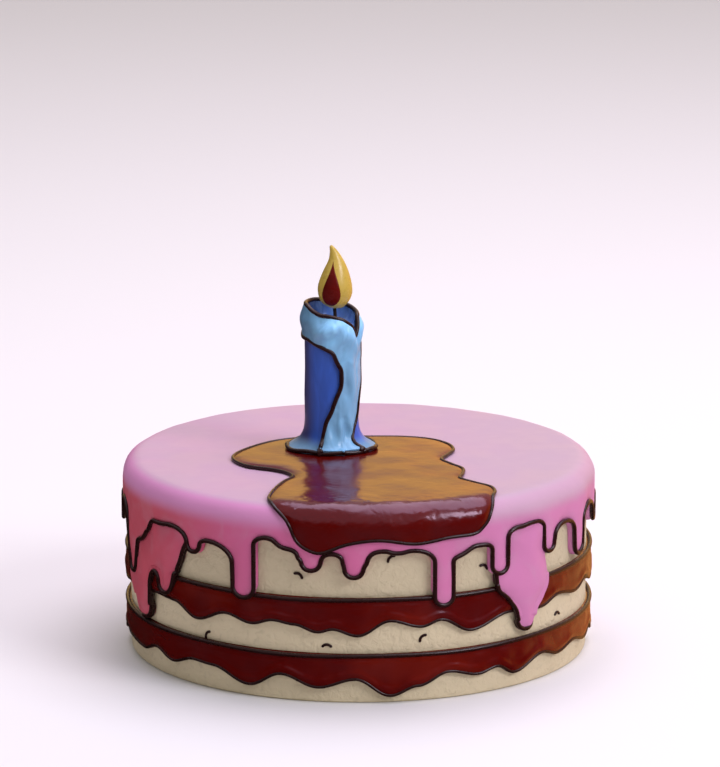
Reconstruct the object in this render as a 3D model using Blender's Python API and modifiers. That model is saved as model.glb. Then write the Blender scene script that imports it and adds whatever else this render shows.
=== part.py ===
"""A round layer cake with drawn outlines: three sponge layers, two chocolate fillings that ooze down
over the layer below, pink icing in two coats with long runs, a chocolate puddle that spills over the
front edge, and a wax-dripped candle with a moulded flame. The front of the cake faces -Y."""

import math

import bmesh
import bpy
import numpy as np
from mathutils.geometry import delaunay_2d_cdt

MM = 0.001
GAP = 0.35 * MM  # clearance between touching pieces

# Cake layers
CAKE_RADIUS = 100.0 * MM
SPONGE_TOP = 81.1 * MM
SPONGE_EDGE_ROUND = 5.0 * MM
SPONGE_BASE_ROUND = 1.2 * MM
SPONGE_SIDES = 72

# Fillings: the top line of each band, and how far up the sponge below it the slab reaches
FILLING_TOPS = {"filling_lower": 21.0 * MM, "filling_upper": 45.4 * MM}
SLAB_DEPTH = 8.6 * MM
BAND_RADIUS = 102.0 * MM
BAND_BEAD_HEIGHT = 0.5 * MM
BAND_BEAD_RADIUS = 1.05 * MM

# Pink icing
ICING_RADIUS = 103.3 * MM
ICING_TOP = 84.3 * MM
ICING_SHOULDER = 8.0 * MM
ICING_THICKNESS = 2.85 * MM
ICING_BEAD_RADIUS = 1.1 * MM
BAND_CLEAR_RADIUS = 102.85 * MM  # the icing's back stands off this far where it hangs over a band
BAND_CLEARANCE = (29.0 * MM, 30.0 * MM, 47.5 * MM, 48.5 * MM)
LATTICE_STEP = math.radians(6.0)
FOLD_STEP = 6.5 * MM
SEAM = -84.5  # degrees: the icing's hem starts and ends on this crest

# Chocolate puddle on the icing
PUDDLE_THICKNESS = 1.75 * MM
PUDDLE_BEAD_RADIUS = 0.65 * MM
PUDDLE_GAP = 0.5 * MM

# Candle
CANDLE_X = -11.9 * MM
CANDLE_Y = 2.5 * MM
CANDLE_RADIUS = 11.7 * MM
CANDLE_BASE = ICING_TOP + PUDDLE_GAP + PUDDLE_THICKNESS + GAP
CANDLE_TOP = 140.4 * MM
FOOT_RADIUS = 19.4 * MM
CANDLE_SIDE = (  # radius and height, from the top down to the foot
    (CANDLE_RADIUS, CANDLE_TOP - 1.2 * MM),
    (CANDLE_RADIUS, CANDLE_BASE + 12 * MM),
    (CANDLE_RADIUS + 1.0 * MM, CANDLE_BASE + 7.5 * MM),
    (CANDLE_RADIUS + 2.8 * MM, CANDLE_BASE + 4.2 * MM),
    (FOOT_RADIUS - 1.7 * MM, CANDLE_BASE + 1.5 * MM),
)
WAX_RADIUS = 12.7 * MM
WAX_BULGE = 1.6 * MM
RIM_BACK_RADIUS = 10.3 * MM
FLAME_BASE = 148.7 * MM
FLAME_TIP = 176.6 * MM
FLAME_RADIUS = 7.55 * MM
FLAME_X = -10.3 * MM
WICK_RADIUS = 0.8 * MM
WICK_BASE = CANDLE_TOP - 0.3 * MM

# The icing's hem from left to right: a run is (centre in degrees, tip height in mm, width in mm),
# a crest or a ledge is (angle in degrees, height in mm).
FRONT_HEM = (
    ("run", -79.8, 56.0, 6.0),
    ("crest", -74.2, 67.0),
    ("run", -70.8, 40.4, 8.6),
    ("ledge", -63.4, 58.9),
    ("crest", -51.5, 68.5),
    ("run", -43.1, 59.5, 8.1),
    ("crest", -38.2, 65.6),
    ("run", -28.3, 43.6, 10.2),
    ("crest", -22.3, 70.7),
    ("ledge", -17.3, 66.9),
    ("run", -11.3, 58.0, 9.7),
    ("crest", -6.4, 65.5),
    ("run", -1.1, 55.4, 9.4),
    ("crest", 5.7, 66.7),
    ("ledge", 9.2, 65.7),
    ("crest", 12.9, 66.5),
    ("run", 20.5, 41.8, 8.3),
    ("ledge", 25.4, 63.2),
    ("crest", 30.8, 66.0),
    ("run", 35.6, 52.3, 8.1),
    ("crest", 41.2, 70.9),
    ("crest", 46.8, 71.6),
    ("run", 52.2, 56.7, 7.8),
    ("crest", 58.9, 67.1),
    ("run", 67.3, 49.8, 9.4),
    ("crest", 74.2, 70.2),
    ("run", 79.6, 60.5, 6.6),
)
SIDE_RUN = (("crest", 84.6, 68.4), ("run", 89.8, 50.5, 9.6), ("crest", 95.5, 67.6))
# The under coat's two big runs as turning points: degrees, height in mm, heading in degrees.
UNDER_LEFT = (
    (-79.5, 69.0, -90), (-78.0, 57.0, -70), (-74.8, 52.5, -25), (-70.6, 46.0, -70), (-68.6, 32.0, -84),
    (-64.3, 23.2, 0), (-61.0, 28.0, 88), (-60.8, 38.0, 90), (-58.2, 45.8, 0), (-56.1, 41.8, -86),
    (-53.8, 38.0, 0), (-50.4, 45.5, 76), (-47.6, 57.0, 70), (-42.8, 69.0, 80),
)
UNDER_RIGHT = (
    (34.7, 69.0, -90), (34.7, 49.5, -88), (38.6, 39.7, -52), (41.3, 30.5, -78), (44.4, 25.5, 0),
    (47.1, 29.5, 82), (50.1, 38.6, 52), (52.3, 46.0, 92), (50.7, 60.0, 94), (50.5, 69.0, 90),
)
# Wavy lower edge of each band on the front: its dips and crests as degrees and height in mm.
BAND_WAVES = {
    "filling_upper": (
        (-75, 33.8), (-66, 35.6), (-57, 36.0), (-50.5, 35.5), (-42.5, 30.4), (-33.5, 35.4), (-26.5, 32.7),
        (-20.8, 35.1), (-15.5, 34.0), (-9.8, 31.2), (-6.2, 32.6), (-0.3, 29.9), (7.5, 36.2), (15.2, 33.1),
        (19.9, 35.4), (27.9, 29.4), (38.8, 34.4), (50.0, 32.8), (57.2, 35.7), (67.0, 33.2), (75.0, 35.6),
        (83.0, 31.8), (90.5, 35.4), (97.5, 32.6),
    ),
    "filling_lower": (
        (-76, 9.4), (-65.5, 8.5), (-58.5, 11.7), (-51.5, 8.5), (-43.8, 11.9), (-37.5, 11.4), (-27.2, 5.8),
        (-18.8, 11.9), (-9.8, 7.1), (-0.8, 10.9), (7.6, 3.6), (14.3, 7.3), (22.0, 12.3), (30.0, 9.6),
        (35.3, 11.4), (40.8, 7.2), (50.5, 12.3), (57.3, 9.6), (65.5, 11.7), (74.5, 8.8),
        (81.5, 11.6), (89.5, 6.2), (97.0, 12.0),
    ),
}
# The puddle's outline, on the top as x and y in mm and then down the side as degrees and height in mm.
PUDDLE_TOP_RIGHT = (
    (-14, 25), (3, 26), (20, 25.5), (32, 21), (39.5, 12), (41.5, 2), (38.5, -8), (36, -16), (40.5, -25),
    (45, -33), (44.5, -43), (43.5, -50), (50, -58), (56.3, -65), (57.8, -72.5), (57.0, -79.5),
)
PUDDLE_SIDE = (
    (33.6, 81.5), (32.6, 78.2), (30.8, 74.2), (27.6, 71.0), (21.5, 71.6), (13.5, 69.8), (4.5, 71.8), (-2.5, 70.2),
    (-9.0, 66.3), (-13.8, 70.2), (-16.6, 77.0), (-18.2, 81.8),
)
PUDDLE_TOP_LEFT = (
    (-34.6, -95.5), (-36.5, -90), (-37.8, -80), (-35.8, -67), (-33, -55), (-28.8, -46), (-35, -36),
    (-48, -27.5), (-54, -17), (-54, -7), (-48, 5), (-38, 17), (-26, 23.5),
)
# The wax coat's lower edge round the candle: degrees, height in mm, heading in degrees.
WAX_HEM = (
    (-180, 136.5, 0), (-148, 131.5, 0), (-118, 138.8, 0), (-78, 137.6, 0), (-36, 136.6, -20),
    (-6, 134.4, -15), (13, 129.2, -78), (23.5, 122.8, -90), (7, 108.0, -113), (-10, 98.0, -105),
    (-14.5, 92.0, -92), (-5, 89.6, 0), (36, 89.6, 0), (44.5, 92.2, 92), (62, 101.0, 75), (78, 112.0, 60),
    (100, 121.5, 80), (94, 131.0, 90), (118, 136.5, 0), (138, 129.0, 0), (156, 133.5, 40), (180, 136.5, 0),
)
# The wax rim round the candle, with a notch at the front right: degrees, height in mm, heading.
WAX_RIM = (
    (-180, 149.6, 8), (-90, 150.8, 0), (-38, 148.7, -22), (5, 147.6, -18), (38, 145.0, -30),
    (58, 138.9, -60), (62, 138.9, 60), (76, 144.0, 65), (92, 145.4, 5), (132, 147.6, 15), (180, 149.6, 8),
)
# Crumb marks on the sponge: node, degrees, height in mm, turn in degrees, on the front.
CRUMB_MARKS = (
    ("sponge_top", -14.8, 54.9, -35), ("sponge_top", 7.2, 62.3, 40), ("sponge_top", 30.3, 55.8, -28),
    ("sponge_middle", -38.3, 25.0, 55), ("sponge_middle", -7.6, 25.6, 0), ("sponge_middle", 14.6, 28.6, 45),
    ("sponge_middle", 55.8, 26.6, -15),
)

COLOURS = {  # base colour, roughness
    "sponge": ((0.60, 0.50, 0.36), 0.75),
    "chocolate": ((0.11, 0.012, 0.008), 0.22),
    "pink_icing": ((0.72, 0.24, 0.42), 0.45),
    "blue_candle": ((0.06, 0.12, 0.42), 0.45),
    "light_wax": ((0.22, 0.45, 0.66), 0.4),
    "flame_yellow": ((0.68, 0.50, 0.10), 0.35),
    "flame_red": ((0.11, 0.008, 0.006), 0.4),
    "wick": ((0.02, 0.01, 0.008), 0.7),
}
HANDLE = 0.552  # handle length that turns a quarter of an ellipse


def clear_scene():
    for old in list(bpy.data.objects):
        bpy.data.objects.remove(old)


def material(name):
    colour, roughness = COLOURS[name]
    made = bpy.data.materials.get(name) or bpy.data.materials.new(name)
    made.use_nodes = True
    shader = made.node_tree.nodes["Principled BSDF"]
    shader.inputs["Base Color"].default_value = (*colour, 1.0)
    shader.inputs["Roughness"].default_value = roughness
    shader.inputs["Metallic"].default_value = 0.0
    return made


def new_object(name, mesh, collection, finish):
    made = bpy.data.objects.new(name, mesh)
    made.data.materials.append(material(finish))
    collection.objects.link(made)
    return made


def mesh_from(name, points, faces):
    """A closed mesh from points and faces: doubles merged and normals turned outwards."""
    mesh = bpy.data.meshes.new(name)
    mesh.from_pydata([tuple(p) for p in points], [], [tuple(f) for f in faces])
    shape = bmesh.new()
    shape.from_mesh(mesh)
    bmesh.ops.remove_doubles(shape, verts=shape.verts, dist=0.02 * MM)
    bmesh.ops.dissolve_degenerate(shape, edges=shape.edges, dist=0.005 * MM)
    bmesh.ops.recalc_face_normals(shape, faces=shape.faces)
    shape.to_mesh(mesh)
    shape.free()
    mesh.shade_smooth()
    mesh.set_sharp_from_angle(angle=math.radians(50))
    return mesh


def bezier_path(stations, steps_of_turn):
    """A smooth line through stations (x, y, heading in degrees), with a cubic curve between each two, and
    one straight step where the line keeps falling or rising steeply."""
    parts = []
    for (ax, ay, a_turn), (bx, by, b_turn) in zip(stations, stations[1:]):
        chord = math.degrees(math.atan2(by - ay, bx - ax))
        straight = abs(chord) > 45 and max(abs(a_turn - chord), abs(b_turn - chord)) < 8
        steps = 1 if straight else steps_of_turn
        a, b = np.array((ax, ay)), np.array((bx, by))
        a_way = np.array((math.cos(math.radians(a_turn)), math.sin(math.radians(a_turn))))
        b_way = np.array((math.cos(math.radians(b_turn)), math.sin(math.radians(b_turn))))
        least = 0.15 * np.linalg.norm(b - a)
        a_handle = a + a_way * HANDLE * max((b - a) @ a_way, least)
        b_handle = b - b_way * HANDLE * max((b - a) @ b_way, least)
        t = (np.arange(steps) / steps)[:, None]
        parts.append(
            a * (1 - t) ** 3 + 3 * a_handle * t * (1 - t) ** 2 + 3 * b_handle * t**2 * (1 - t) + b * t**3
        )
    parts.append(np.array([stations[-1][:2]]))
    return np.concatenate(parts)


def closed_spline(points, steps):
    """A closed smooth line through points: Catmull-Rom curves."""
    p = np.array(points, float)
    before, after, beyond = np.roll(p, 1, 0), np.roll(p, -1, 0), np.roll(p, -2, 0)
    t = (np.arange(steps) / steps)[None, :, None]
    a, b, c, d = (x[:, None, :] for x in (before, p, after, beyond))
    curve = 0.5 * (2 * b + (c - a) * t + (2 * a - 5 * b + 4 * c - d) * t**2 + (3 * b - a - 3 * c + d) * t**3)
    return curve.reshape(-1, 2)


def hem_stations(rows, radius):
    """Turning points of a hem from its runs, crests and ledges. Lengths along it are in metres."""
    to_length = math.radians(1) * radius
    stations = []
    for i, row in enumerate(rows):
        x, y = row[1] * to_length, row[2] * MM
        if row[0] != "run":
            stations.append((x, y, 0))
            continue
        half = row[3] * MM / 2
        low = y + 0.9 * half
        for side, turn in ((-1, -90), (1, 90)):
            near = rows[i + side]
            reach = abs(near[1] * to_length - (x + side * half))
            rise = near[2] * MM - low
            high = near[2] * MM - min(1.1 * reach, 0.8 * rise)
            flank = [(x + side * half, low, turn)]
            if high - low > 1.5 * MM:
                flank.append((x + side * 1.04 * half, high, turn))
            stations += flank[::-1] if side < 0 else flank
            if side < 0:
                stations.append((x, y, 0))
    return stations


def whole_hem():
    """The hem once round the cake: the front, a side run, the front's pattern turned half round with
    other run lengths, and the other side run."""
    rng = np.random.default_rng(7)
    back = []
    for row in FRONT_HEM:
        change = rng.uniform(-2.5, 4.0) if row[0] == "run" else 0.0
        back.append((row[0], row[1] + 180, max(row[2] + change, 40.0), *row[3:]))
    left = [(k, a - 180, *rest) for k, a, *rest in SIDE_RUN]
    end = [(k, a + 180, *rest) for k, a, *rest in SIDE_RUN]
    first = [("crest", SEAM, left[-1][2])]
    last = [end[0], end[1], ("crest", SEAM + 360, left[-1][2])]
    return first + list(FRONT_HEM) + list(SIDE_RUN) + back + last


def shift_inwards(line, amount, closed=True):
    """The line moved to its left by an amount."""
    if closed:
        tangent = np.roll(line, -1, 0) - np.roll(line, 1, 0)
    else:
        tangent = np.gradient(line, axis=0)
        tangent[[0, -1], 1] = 0
    tangent /= np.linalg.norm(tangent, axis=1)[:, None]
    return line + amount * np.stack([-tangent[:, 1], tangent[:, 0]], 1)


def cut_at(line, levels, closed=True):
    """The line with a point added wherever it crosses a level, and for each run that hangs below a level
    the pair of new points on its two flanks."""
    ends = np.roll(line, -1, 0) if closed else line[1:]
    points, marks = [], []
    for a, b in zip(line, ends):
        points.append(a)
        marks.append(None)
        crossed = [z for z in levels if (a[1] - z) * (b[1] - z) < 0]
        for z in sorted(crossed, reverse=bool(a[1] > b[1])):
            points.append(a + (b - a) * (z - a[1]) / (b[1] - a[1]))
            marks.append(z)
    if not closed:
        points.append(line[-1])
        marks.append(None)
    points = np.array(points)
    new = np.array([m is not None for m in marks])
    near = np.linalg.norm(points[:, None] - points[new][None], axis=2).min(1) if new.any() else new + 1.0
    kept = new | (near > 0.5 * MM)
    marks = [m for m, keep in zip(marks, kept) if keep]
    pairs = []
    for z in levels:
        where = [i for i, m in enumerate(marks) if m == z]
        pairs += list(zip(where[0::2], where[1::2]))
    return points[kept], pairs


def inside(points, loop):
    """Which points lie within a closed loop, by counting crossings."""
    x, y = points[:, None, 0], points[:, None, 1]
    a, b = loop[None], np.roll(loop, -1, 0)[None]
    straddles = (a[..., 1] > y) != (b[..., 1] > y)
    with np.errstate(divide="ignore", invalid="ignore"):
        cross = a[..., 0] + (y - a[..., 1]) * (b[..., 0] - a[..., 0]) / (b[..., 1] - a[..., 1])
    return (straddles & (x < cross)).sum(1) % 2 == 1


def filled(loop, lattice, clear, folds=()):
    """A triangulated panel within a loop: the loop's points, the lattice points that are clear of it,
    and a fold between each pair of the loop's points given, in short steps."""
    held, edges = loop, []
    for i, j in folds:
        steps = max(1, round(np.linalg.norm(loop[i] - loop[j]) / FOLD_STEP))
        chain = [i, *range(len(held), len(held) + steps - 1), j]
        edges += list(zip(chain, chain[1:]))
        held = np.concatenate([held, np.linspace(loop[i], loop[j], steps + 1)[1:-1]])
    distance = np.linalg.norm(lattice[:, None] - held[None], axis=2).min(1)
    points = [tuple(p) for p in np.concatenate([held, lattice[inside(lattice, loop) & (distance > clear)]])]
    made = delaunay_2d_cdt(points, edges, [list(range(len(loop)))], 0, 1e-7)
    flat = np.array([tuple(v) for v in made[0]])
    triangles = [f for f, source in zip(made[2], made[5]) if source]
    return flat, triangles


class Skin:
    """Gathers the rows and panels of one closed solid before they are merged."""

    def __init__(self):
        self.points = []
        self.faces = []
        self.count = 0

    def add(self, points, faces):
        self.points.append(np.asarray(points, float))
        self.faces += [tuple(int(i) + self.count for i in f) for f in faces]
        self.count += len(points)

    def ribbon(self, lower, upper, closed=True):
        n = len(lower)
        quads = [(i, (i + 1) % n, n + (i + 1) % n, n + i) for i in range(n if closed else n - 1)]
        self.add(np.concatenate([lower, upper]), quads)

    def mesh(self, name):
        return mesh_from(name, np.concatenate(self.points), self.faces)


def on_icing(flat, depth, radius=ICING_RADIUS):
    """Points of the unrolled side (length, height) on the icing, a depth below its face. Past the side,
    the height carries on round the shoulder."""
    angle = flat[:, 0] / radius
    start = ICING_TOP - ICING_SHOULDER
    bend = np.clip((flat[:, 1] - start) / ICING_SHOULDER, 0, math.pi / 2)
    rounding = ICING_SHOULDER - depth
    r = ICING_RADIUS - ICING_SHOULDER + rounding * np.cos(bend)
    z = np.minimum(flat[:, 1], start) + rounding * np.sin(bend)
    return np.stack([r * np.sin(angle), -r * np.cos(angle), z], 1)


def back_depth(heights):
    """Depth of the icing's back: the full thickness, and less where it hangs over the upper band."""
    clear = ICING_RADIUS - BAND_CLEAR_RADIUS
    return np.interp(heights, BAND_CLEARANCE, (ICING_THICKNESS, clear, clear, ICING_THICKNESS))


def icing_lattice(rows):
    angles = np.radians(SEAM) + np.arange(1, 60) * LATTICE_STEP
    return np.array([(a * ICING_RADIUS, z) for z in rows for a in angles])


def icing_coat(collection):
    """The upper coat: a cap with a rounded shoulder whose hem hangs in runs, edged with a raised bead."""
    centre = bezier_path(hem_stations(whole_hem(), ICING_RADIUS), 2)
    centre, folds = cut_at(centre, BAND_CLEARANCE[2:], closed=False)
    rows = {d: shift_inwards(centre, d * ICING_BEAD_RADIUS, closed=False) for d in (-0.8, 0.0, 1.15)}
    start = ICING_TOP - ICING_SHOULDER
    levels = [54 * MM, 60 * MM, 66 * MM, 72 * MM, start]
    shoulder = [start + ICING_SHOULDER * math.pi / 2 * k / 3 for k in (1, 2, 3)]
    seam_rows = [72 * MM, start, *shoulder]
    skin = Skin()
    back, crest = on_icing(rows[-0.8], back_depth(rows[-0.8][:, 1])), on_icing(rows[0.0], -0.5 * MM)
    skin.ribbon(back, crest, closed=False)
    skin.ribbon(crest, on_icing(rows[1.15], 0.1 * MM), closed=False)
    for hem, face in ((rows[1.15], True), (rows[-0.8], False)):
        left, right = hem[0, 0], hem[-1, 0]
        top = [(x, shoulder[-1]) for x in np.linspace(right, left, 61)[1:-1]]
        loop = np.concatenate(
            [hem, [(right, z) for z in seam_rows], top, [(left, z) for z in seam_rows[::-1]]]
        )
        lattice = icing_lattice([*levels, *shoulder[:-1]] if face else [60 * MM, 72 * MM, start, *shoulder[:-1]])
        clear = 3.0 * MM if face else 3.5 * MM
        flat, triangles = filled(loop, lattice, clear, () if face else folds)
        if face:
            near_hem = np.linalg.norm(flat[:, None] - hem[None], axis=2).min(1) < 0.01 * MM
            depth = np.where(near_hem, 0.1 * MM, 0.0)
        else:
            depth = back_depth(flat[:, 1])
        placed = on_icing(flat, depth)
        skin.add(placed, triangles)
        ring = on_icing(np.array([(x, shoulder[-1]) for x in np.linspace(left, right, 61)[:-1]]),
                        0.0 if face else ICING_THICKNESS)
        fan = [(i, (i + 1) % 60, 60) for i in range(60)]
        skin.add(np.concatenate([ring, [(0, 0, ring[0, 2])]]), fan)
    return new_object("pink_icing", skin.mesh("pink_icing"), collection, "pink_icing")


def under_run(name, turns, turn_by, collection):
    """One run of the under coat: a bulging tongue with a raised bead, tucked under the upper coat."""
    to_length = math.radians(1) * ICING_RADIUS
    stations = [((a + turn_by) * to_length, z * MM, h) for a, z, h in turns]
    edge = bezier_path(stations, 2)
    across = np.linspace(edge[-1], edge[0], 2 + round((edge[-1, 0] - edge[0, 0]) / (7 * MM)))[1:-1]
    centre, folds = cut_at(np.concatenate([edge, across]), BAND_CLEARANCE)
    rows = {d: shift_inwards(centre, d * ICING_BEAD_RADIUS) for d in (-0.7, 0.0, 1.25)}

    def swell(flat, extra):
        drop = np.clip((66 * MM - flat[:, 1]) / (14 * MM), 0, 1)
        return 1.1 * MM - 2.0 * MM * drop * drop * (3 - 2 * drop) + extra

    skin = Skin()
    back = rows[-0.7]
    crest = on_icing(rows[0.0], swell(rows[0.0], 0.0))
    skin.ribbon(on_icing(back, back_depth(back[:, 1]) - 0.3 * MM), crest)
    skin.ribbon(crest, on_icing(rows[1.25], swell(rows[1.25], 0.15 * MM)))
    x0, x1 = centre[:, 0].min(), centre[:, 0].max()
    grid = np.array([(x, z * MM) for z in range(29, 68, 6) for x in np.arange(x0, x1, 7 * MM)])
    flat, triangles = filled(rows[1.25], grid, 2.6 * MM)
    on_edge = np.linalg.norm(flat[:, None] - rows[1.25][None], axis=2).min(1) < 0.01 * MM
    skin.add(on_icing(flat, swell(flat, np.where(on_edge, 0.15 * MM, 0.0))), triangles)
    flat, triangles = filled(back, grid, 2.6 * MM, folds)
    skin.add(on_icing(flat, back_depth(flat[:, 1]) - 0.3 * MM), triangles)
    return new_object(name, skin.mesh(name), collection, "pink_icing")


def join_all(whole, extras, parent):
    """Joins the collection's objects to the whole by one Boolean union, and removes them."""
    join = whole.modifiers.new("join", "BOOLEAN")
    join.operation = "UNION"
    join.operand_type = "COLLECTION"
    join.solver = "MANIFOLD"
    join.collection = extras
    bpy.context.view_layer.update()
    joined = bpy.data.meshes.new_from_object(whole.evaluated_get(bpy.context.evaluated_depsgraph_get()))
    whole.modifiers.clear()
    whole.data = joined
    for extra in list(extras.objects):
        bpy.data.objects.remove(extra)
    parent.children.unlink(extras)


def pink_icing(collection):
    coat = icing_coat(collection)
    runs = bpy.data.collections.new("under_coat")
    collection.children.link(runs)
    for turn in (0, 180):
        under_run(f"under_left_{turn}", UNDER_LEFT, turn, runs)
        under_run(f"under_right_{turn}", UNDER_RIGHT, turn, runs)
    join_all(coat, runs, collection)
    return coat


def band_columns(waves):
    """Angles in radians and lower edge heights of a band: the dips and crests, and a point between each
    two on an S-curve, with the front's pattern turned half round for the back."""
    front = [(math.radians(a), z * MM) for a, z in waves]
    turned = front + [(a + math.pi, z) for a, z in front]
    turned.append((front[0][0] + 2 * math.pi, front[0][1]))
    columns = []
    for (a, za), (b, zb) in zip(turned, turned[1:]):
        steps = max(2, round((b - a) / math.radians(5.0)))
        for k in range(steps):
            t = k / steps
            columns.append((a + (b - a) * t, za + (zb - za) * (1 - math.cos(math.pi * t)) / 2))
    return np.array(columns)


def filling(name, collection):
    """A filling layer: a slab between two sponges that oozes out into a band, which hangs over the sponge
    below in waves, with a raised bead along both edges."""
    top_line = FILLING_TOPS[name]
    columns = band_columns(BAND_WAVES[name])
    angle, low = columns[:, 0], columns[:, 1]
    high = top_line + 0.45 * MM * np.sin(5 * angle) * np.cos(3 * angle + 1)
    slab_top, slab_bottom = top_line + 0.5 * MM, top_line + 0.5 * MM - SLAB_DEPTH
    back = CAKE_RADIUS + GAP
    crown = BAND_RADIUS + BAND_BEAD_HEIGHT
    bead = BAND_BEAD_RADIUS
    one = np.ones_like(angle)
    section = [
        (back * one, slab_top * one),
        ((crown - 0.6 * MM) * one, high + 0.95 * bead),
        (crown * one, high),
        ((BAND_RADIUS - 0.1 * MM) * one, high - 1.2 * bead),
        ((BAND_RADIUS - 0.1 * MM) * one, low + 1.2 * bead),
        (crown * one, low),
        ((crown - 0.7 * MM) * one, low - 0.95 * bead),
        (back * one, low - 0.9 * bead),
        (back * one, slab_bottom * one),
    ]
    rings = [np.stack([r * np.sin(angle), -r * np.cos(angle), z], 1) for r, z in section]
    skin = Skin()
    for upper, lower in zip(rings, rings[1:]):
        skin.ribbon(upper, lower)
    n = len(angle)
    for ring, z in ((rings[0], slab_top), (rings[-1], slab_bottom)):
        skin.add(np.concatenate([ring, [(0, 0, z)]]), [(i, (i + 1) % n, n) for i in range(n)])
    return new_object(name, skin.mesh(name), collection, "chocolate")


def crumb_mark(angle, height, turn, into):
    """A short curved stroke that stands a little proud of the sponge."""
    radius, thickness = 2.3 * MM, 0.55 * MM
    curve = bpy.data.curves.new("crumb", "CURVE")
    curve.dimensions = "3D"
    curve.bevel_depth = thickness
    curve.bevel_resolution = 0
    curve.use_fill_caps = True
    spline = curve.splines.new("POLY")
    swings = np.radians(np.linspace(25, 155, 5) + turn)
    spline.points.add(len(swings) - 1)
    for point, swing in zip(spline.points, swings):
        around = math.radians(angle) + radius * math.cos(swing) / CAKE_RADIUS
        r = CAKE_RADIUS + 0.1 * MM
        z = height * MM + radius * math.sin(swing) - 0.6 * radius
        point.co = (r * math.sin(around), -r * math.cos(around), z, 1)
    stroke = bpy.data.objects.new("crumb", curve)
    into.objects.link(stroke)
    bpy.context.view_layer.update()
    mesh = bpy.data.meshes.new_from_object(stroke.evaluated_get(bpy.context.evaluated_depsgraph_get()))
    bpy.data.objects.remove(stroke)
    shape = bmesh.new()
    shape.from_mesh(mesh)
    bmesh.ops.remove_doubles(shape, verts=shape.verts, dist=0.01 * MM)
    bmesh.ops.recalc_face_normals(shape, faces=shape.faces)
    shape.to_mesh(mesh)
    shape.free()
    into.objects.link(bpy.data.objects.new("crumb_mark", mesh))


def sponge(name, bottom, top, round_top, round_base, collection):
    """One sponge layer, with a rounded edge where it is the cake's top or base, and its crumb marks."""
    bpy.ops.mesh.primitive_cylinder_add(
        vertices=SPONGE_SIDES, radius=CAKE_RADIUS, depth=top - bottom, location=(0, 0, (top + bottom) / 2)
    )
    layer = bpy.context.object
    layer.name = name
    for other in list(layer.users_collection):
        other.objects.unlink(layer)
    collection.objects.link(layer)
    layer.data.materials.append(material("sponge"))
    bpy.ops.object.transform_apply(location=True, rotation=False, scale=False)
    for amount, side, segments in ((round_top, 1, 3), (round_base, -1, 1)):
        if not amount:
            continue
        shape = bmesh.new()
        shape.from_mesh(layer.data)
        end = top if side > 0 else bottom
        rim = [e for e in shape.edges if all(abs(v.co.z - end) < 1e-6 for v in e.verts)]
        bmesh.ops.bevel(shape, geom=rim, offset=amount, segments=segments, profile=0.5, affect="EDGES")
        shape.to_mesh(layer.data)
        shape.free()
    marks = bpy.data.collections.new("marks_" + name)
    collection.children.link(marks)
    for node, angle, height, turn in CRUMB_MARKS:
        if node == name:
            crumb_mark(angle, height, turn, marks)
            crumb_mark(angle + 180, height, -turn, marks)
    if len(marks.objects):
        join_all(layer, marks, collection)
    else:
        collection.children.unlink(marks)
    layer.data.shade_smooth()
    layer.data.set_sharp_from_angle(angle=math.radians(35))
    return layer


def puddle_outline():
    """The puddle's edge as a closed line in the unrolled plan: each point lies as far from the middle as
    the path over the top, the shoulder and the side is long."""
    flat_edge = ICING_RADIUS - ICING_SHOULDER
    side_start = flat_edge + ICING_SHOULDER * math.pi / 2
    points = [(x * MM, y * MM) for x, y in PUDDLE_TOP_RIGHT]
    for degrees, height in PUDDLE_SIDE:
        reach = side_start + (ICING_TOP - ICING_SHOULDER) - height * MM
        points.append((reach * math.sin(math.radians(degrees)), -reach * math.cos(math.radians(degrees))))
    points += [(x * MM, y * MM) for x, y in PUDDLE_TOP_LEFT]
    return closed_spline(points, 2)[::-1]


def over_icing(plan, lift):
    """Points of the unrolled plan, a lift above the icing's face."""
    reach = np.linalg.norm(plan, axis=1)
    way = plan / np.maximum(reach, 1e-9)[:, None]
    flat_edge = ICING_RADIUS - ICING_SHOULDER
    bend = np.clip((reach - flat_edge) / ICING_SHOULDER, 0, math.pi / 2)
    rounding = ICING_SHOULDER + lift
    r = np.minimum(reach, flat_edge) + rounding * np.sin(bend)
    start = ICING_TOP - ICING_SHOULDER
    below = np.maximum(reach - flat_edge - ICING_SHOULDER * math.pi / 2, 0)
    z = start + rounding * np.cos(bend) - below
    return np.stack([r * way[:, 0], r * way[:, 1], z], 1)


def puddle(collection):
    """The chocolate puddle: a thin sheet that spreads over the top and spills over the front edge."""
    edge = puddle_outline()
    rows = {d: shift_inwards(edge, d * PUDDLE_BEAD_RADIUS) for d in (-0.7, -0.9, 0.1, 1.3)}
    top = PUDDLE_GAP + PUDDLE_THICKNESS
    skin = Skin()
    skin.ribbon(over_icing(rows[-0.7], PUDDLE_GAP), over_icing(rows[-0.9], PUDDLE_GAP + 0.8 * MM))
    skin.ribbon(over_icing(rows[-0.9], PUDDLE_GAP + 0.8 * MM), over_icing(rows[0.1], top + 0.3 * MM))
    skin.ribbon(over_icing(rows[0.1], top + 0.3 * MM), over_icing(rows[1.3], top - 0.1 * MM))
    flat_edge = ICING_RADIUS - ICING_SHOULDER
    reaches = [flat_edge + ICING_SHOULDER * math.pi / 2 * k / 3 for k in range(4)] + [0.114]
    angles = np.radians(np.arange(-84.5 + 48, 50, 6))
    rings = [(r * math.sin(a), -r * math.cos(a)) for r in reaches for a in angles]
    field = [(x * MM, y * MM) for x in range(-50, 60, 20) for y in range(-80, 25, 20)]
    lattice = np.array(rings + field)
    for row, lift in ((rows[1.3], top), (rows[-0.7], PUDDLE_GAP)):
        flat, triangles = filled(row, lattice, 2.2 * MM)
        on_edge = np.linalg.norm(flat[:, None] - row[None], axis=2).min(1) < 0.01 * MM
        lifts = np.where(on_edge & (lift == top), top - 0.1 * MM, lift)
        skin.add(over_icing(flat, lifts), triangles)
    return new_object("chocolate_puddle", skin.mesh("chocolate_puddle"), collection, "chocolate")


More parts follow.
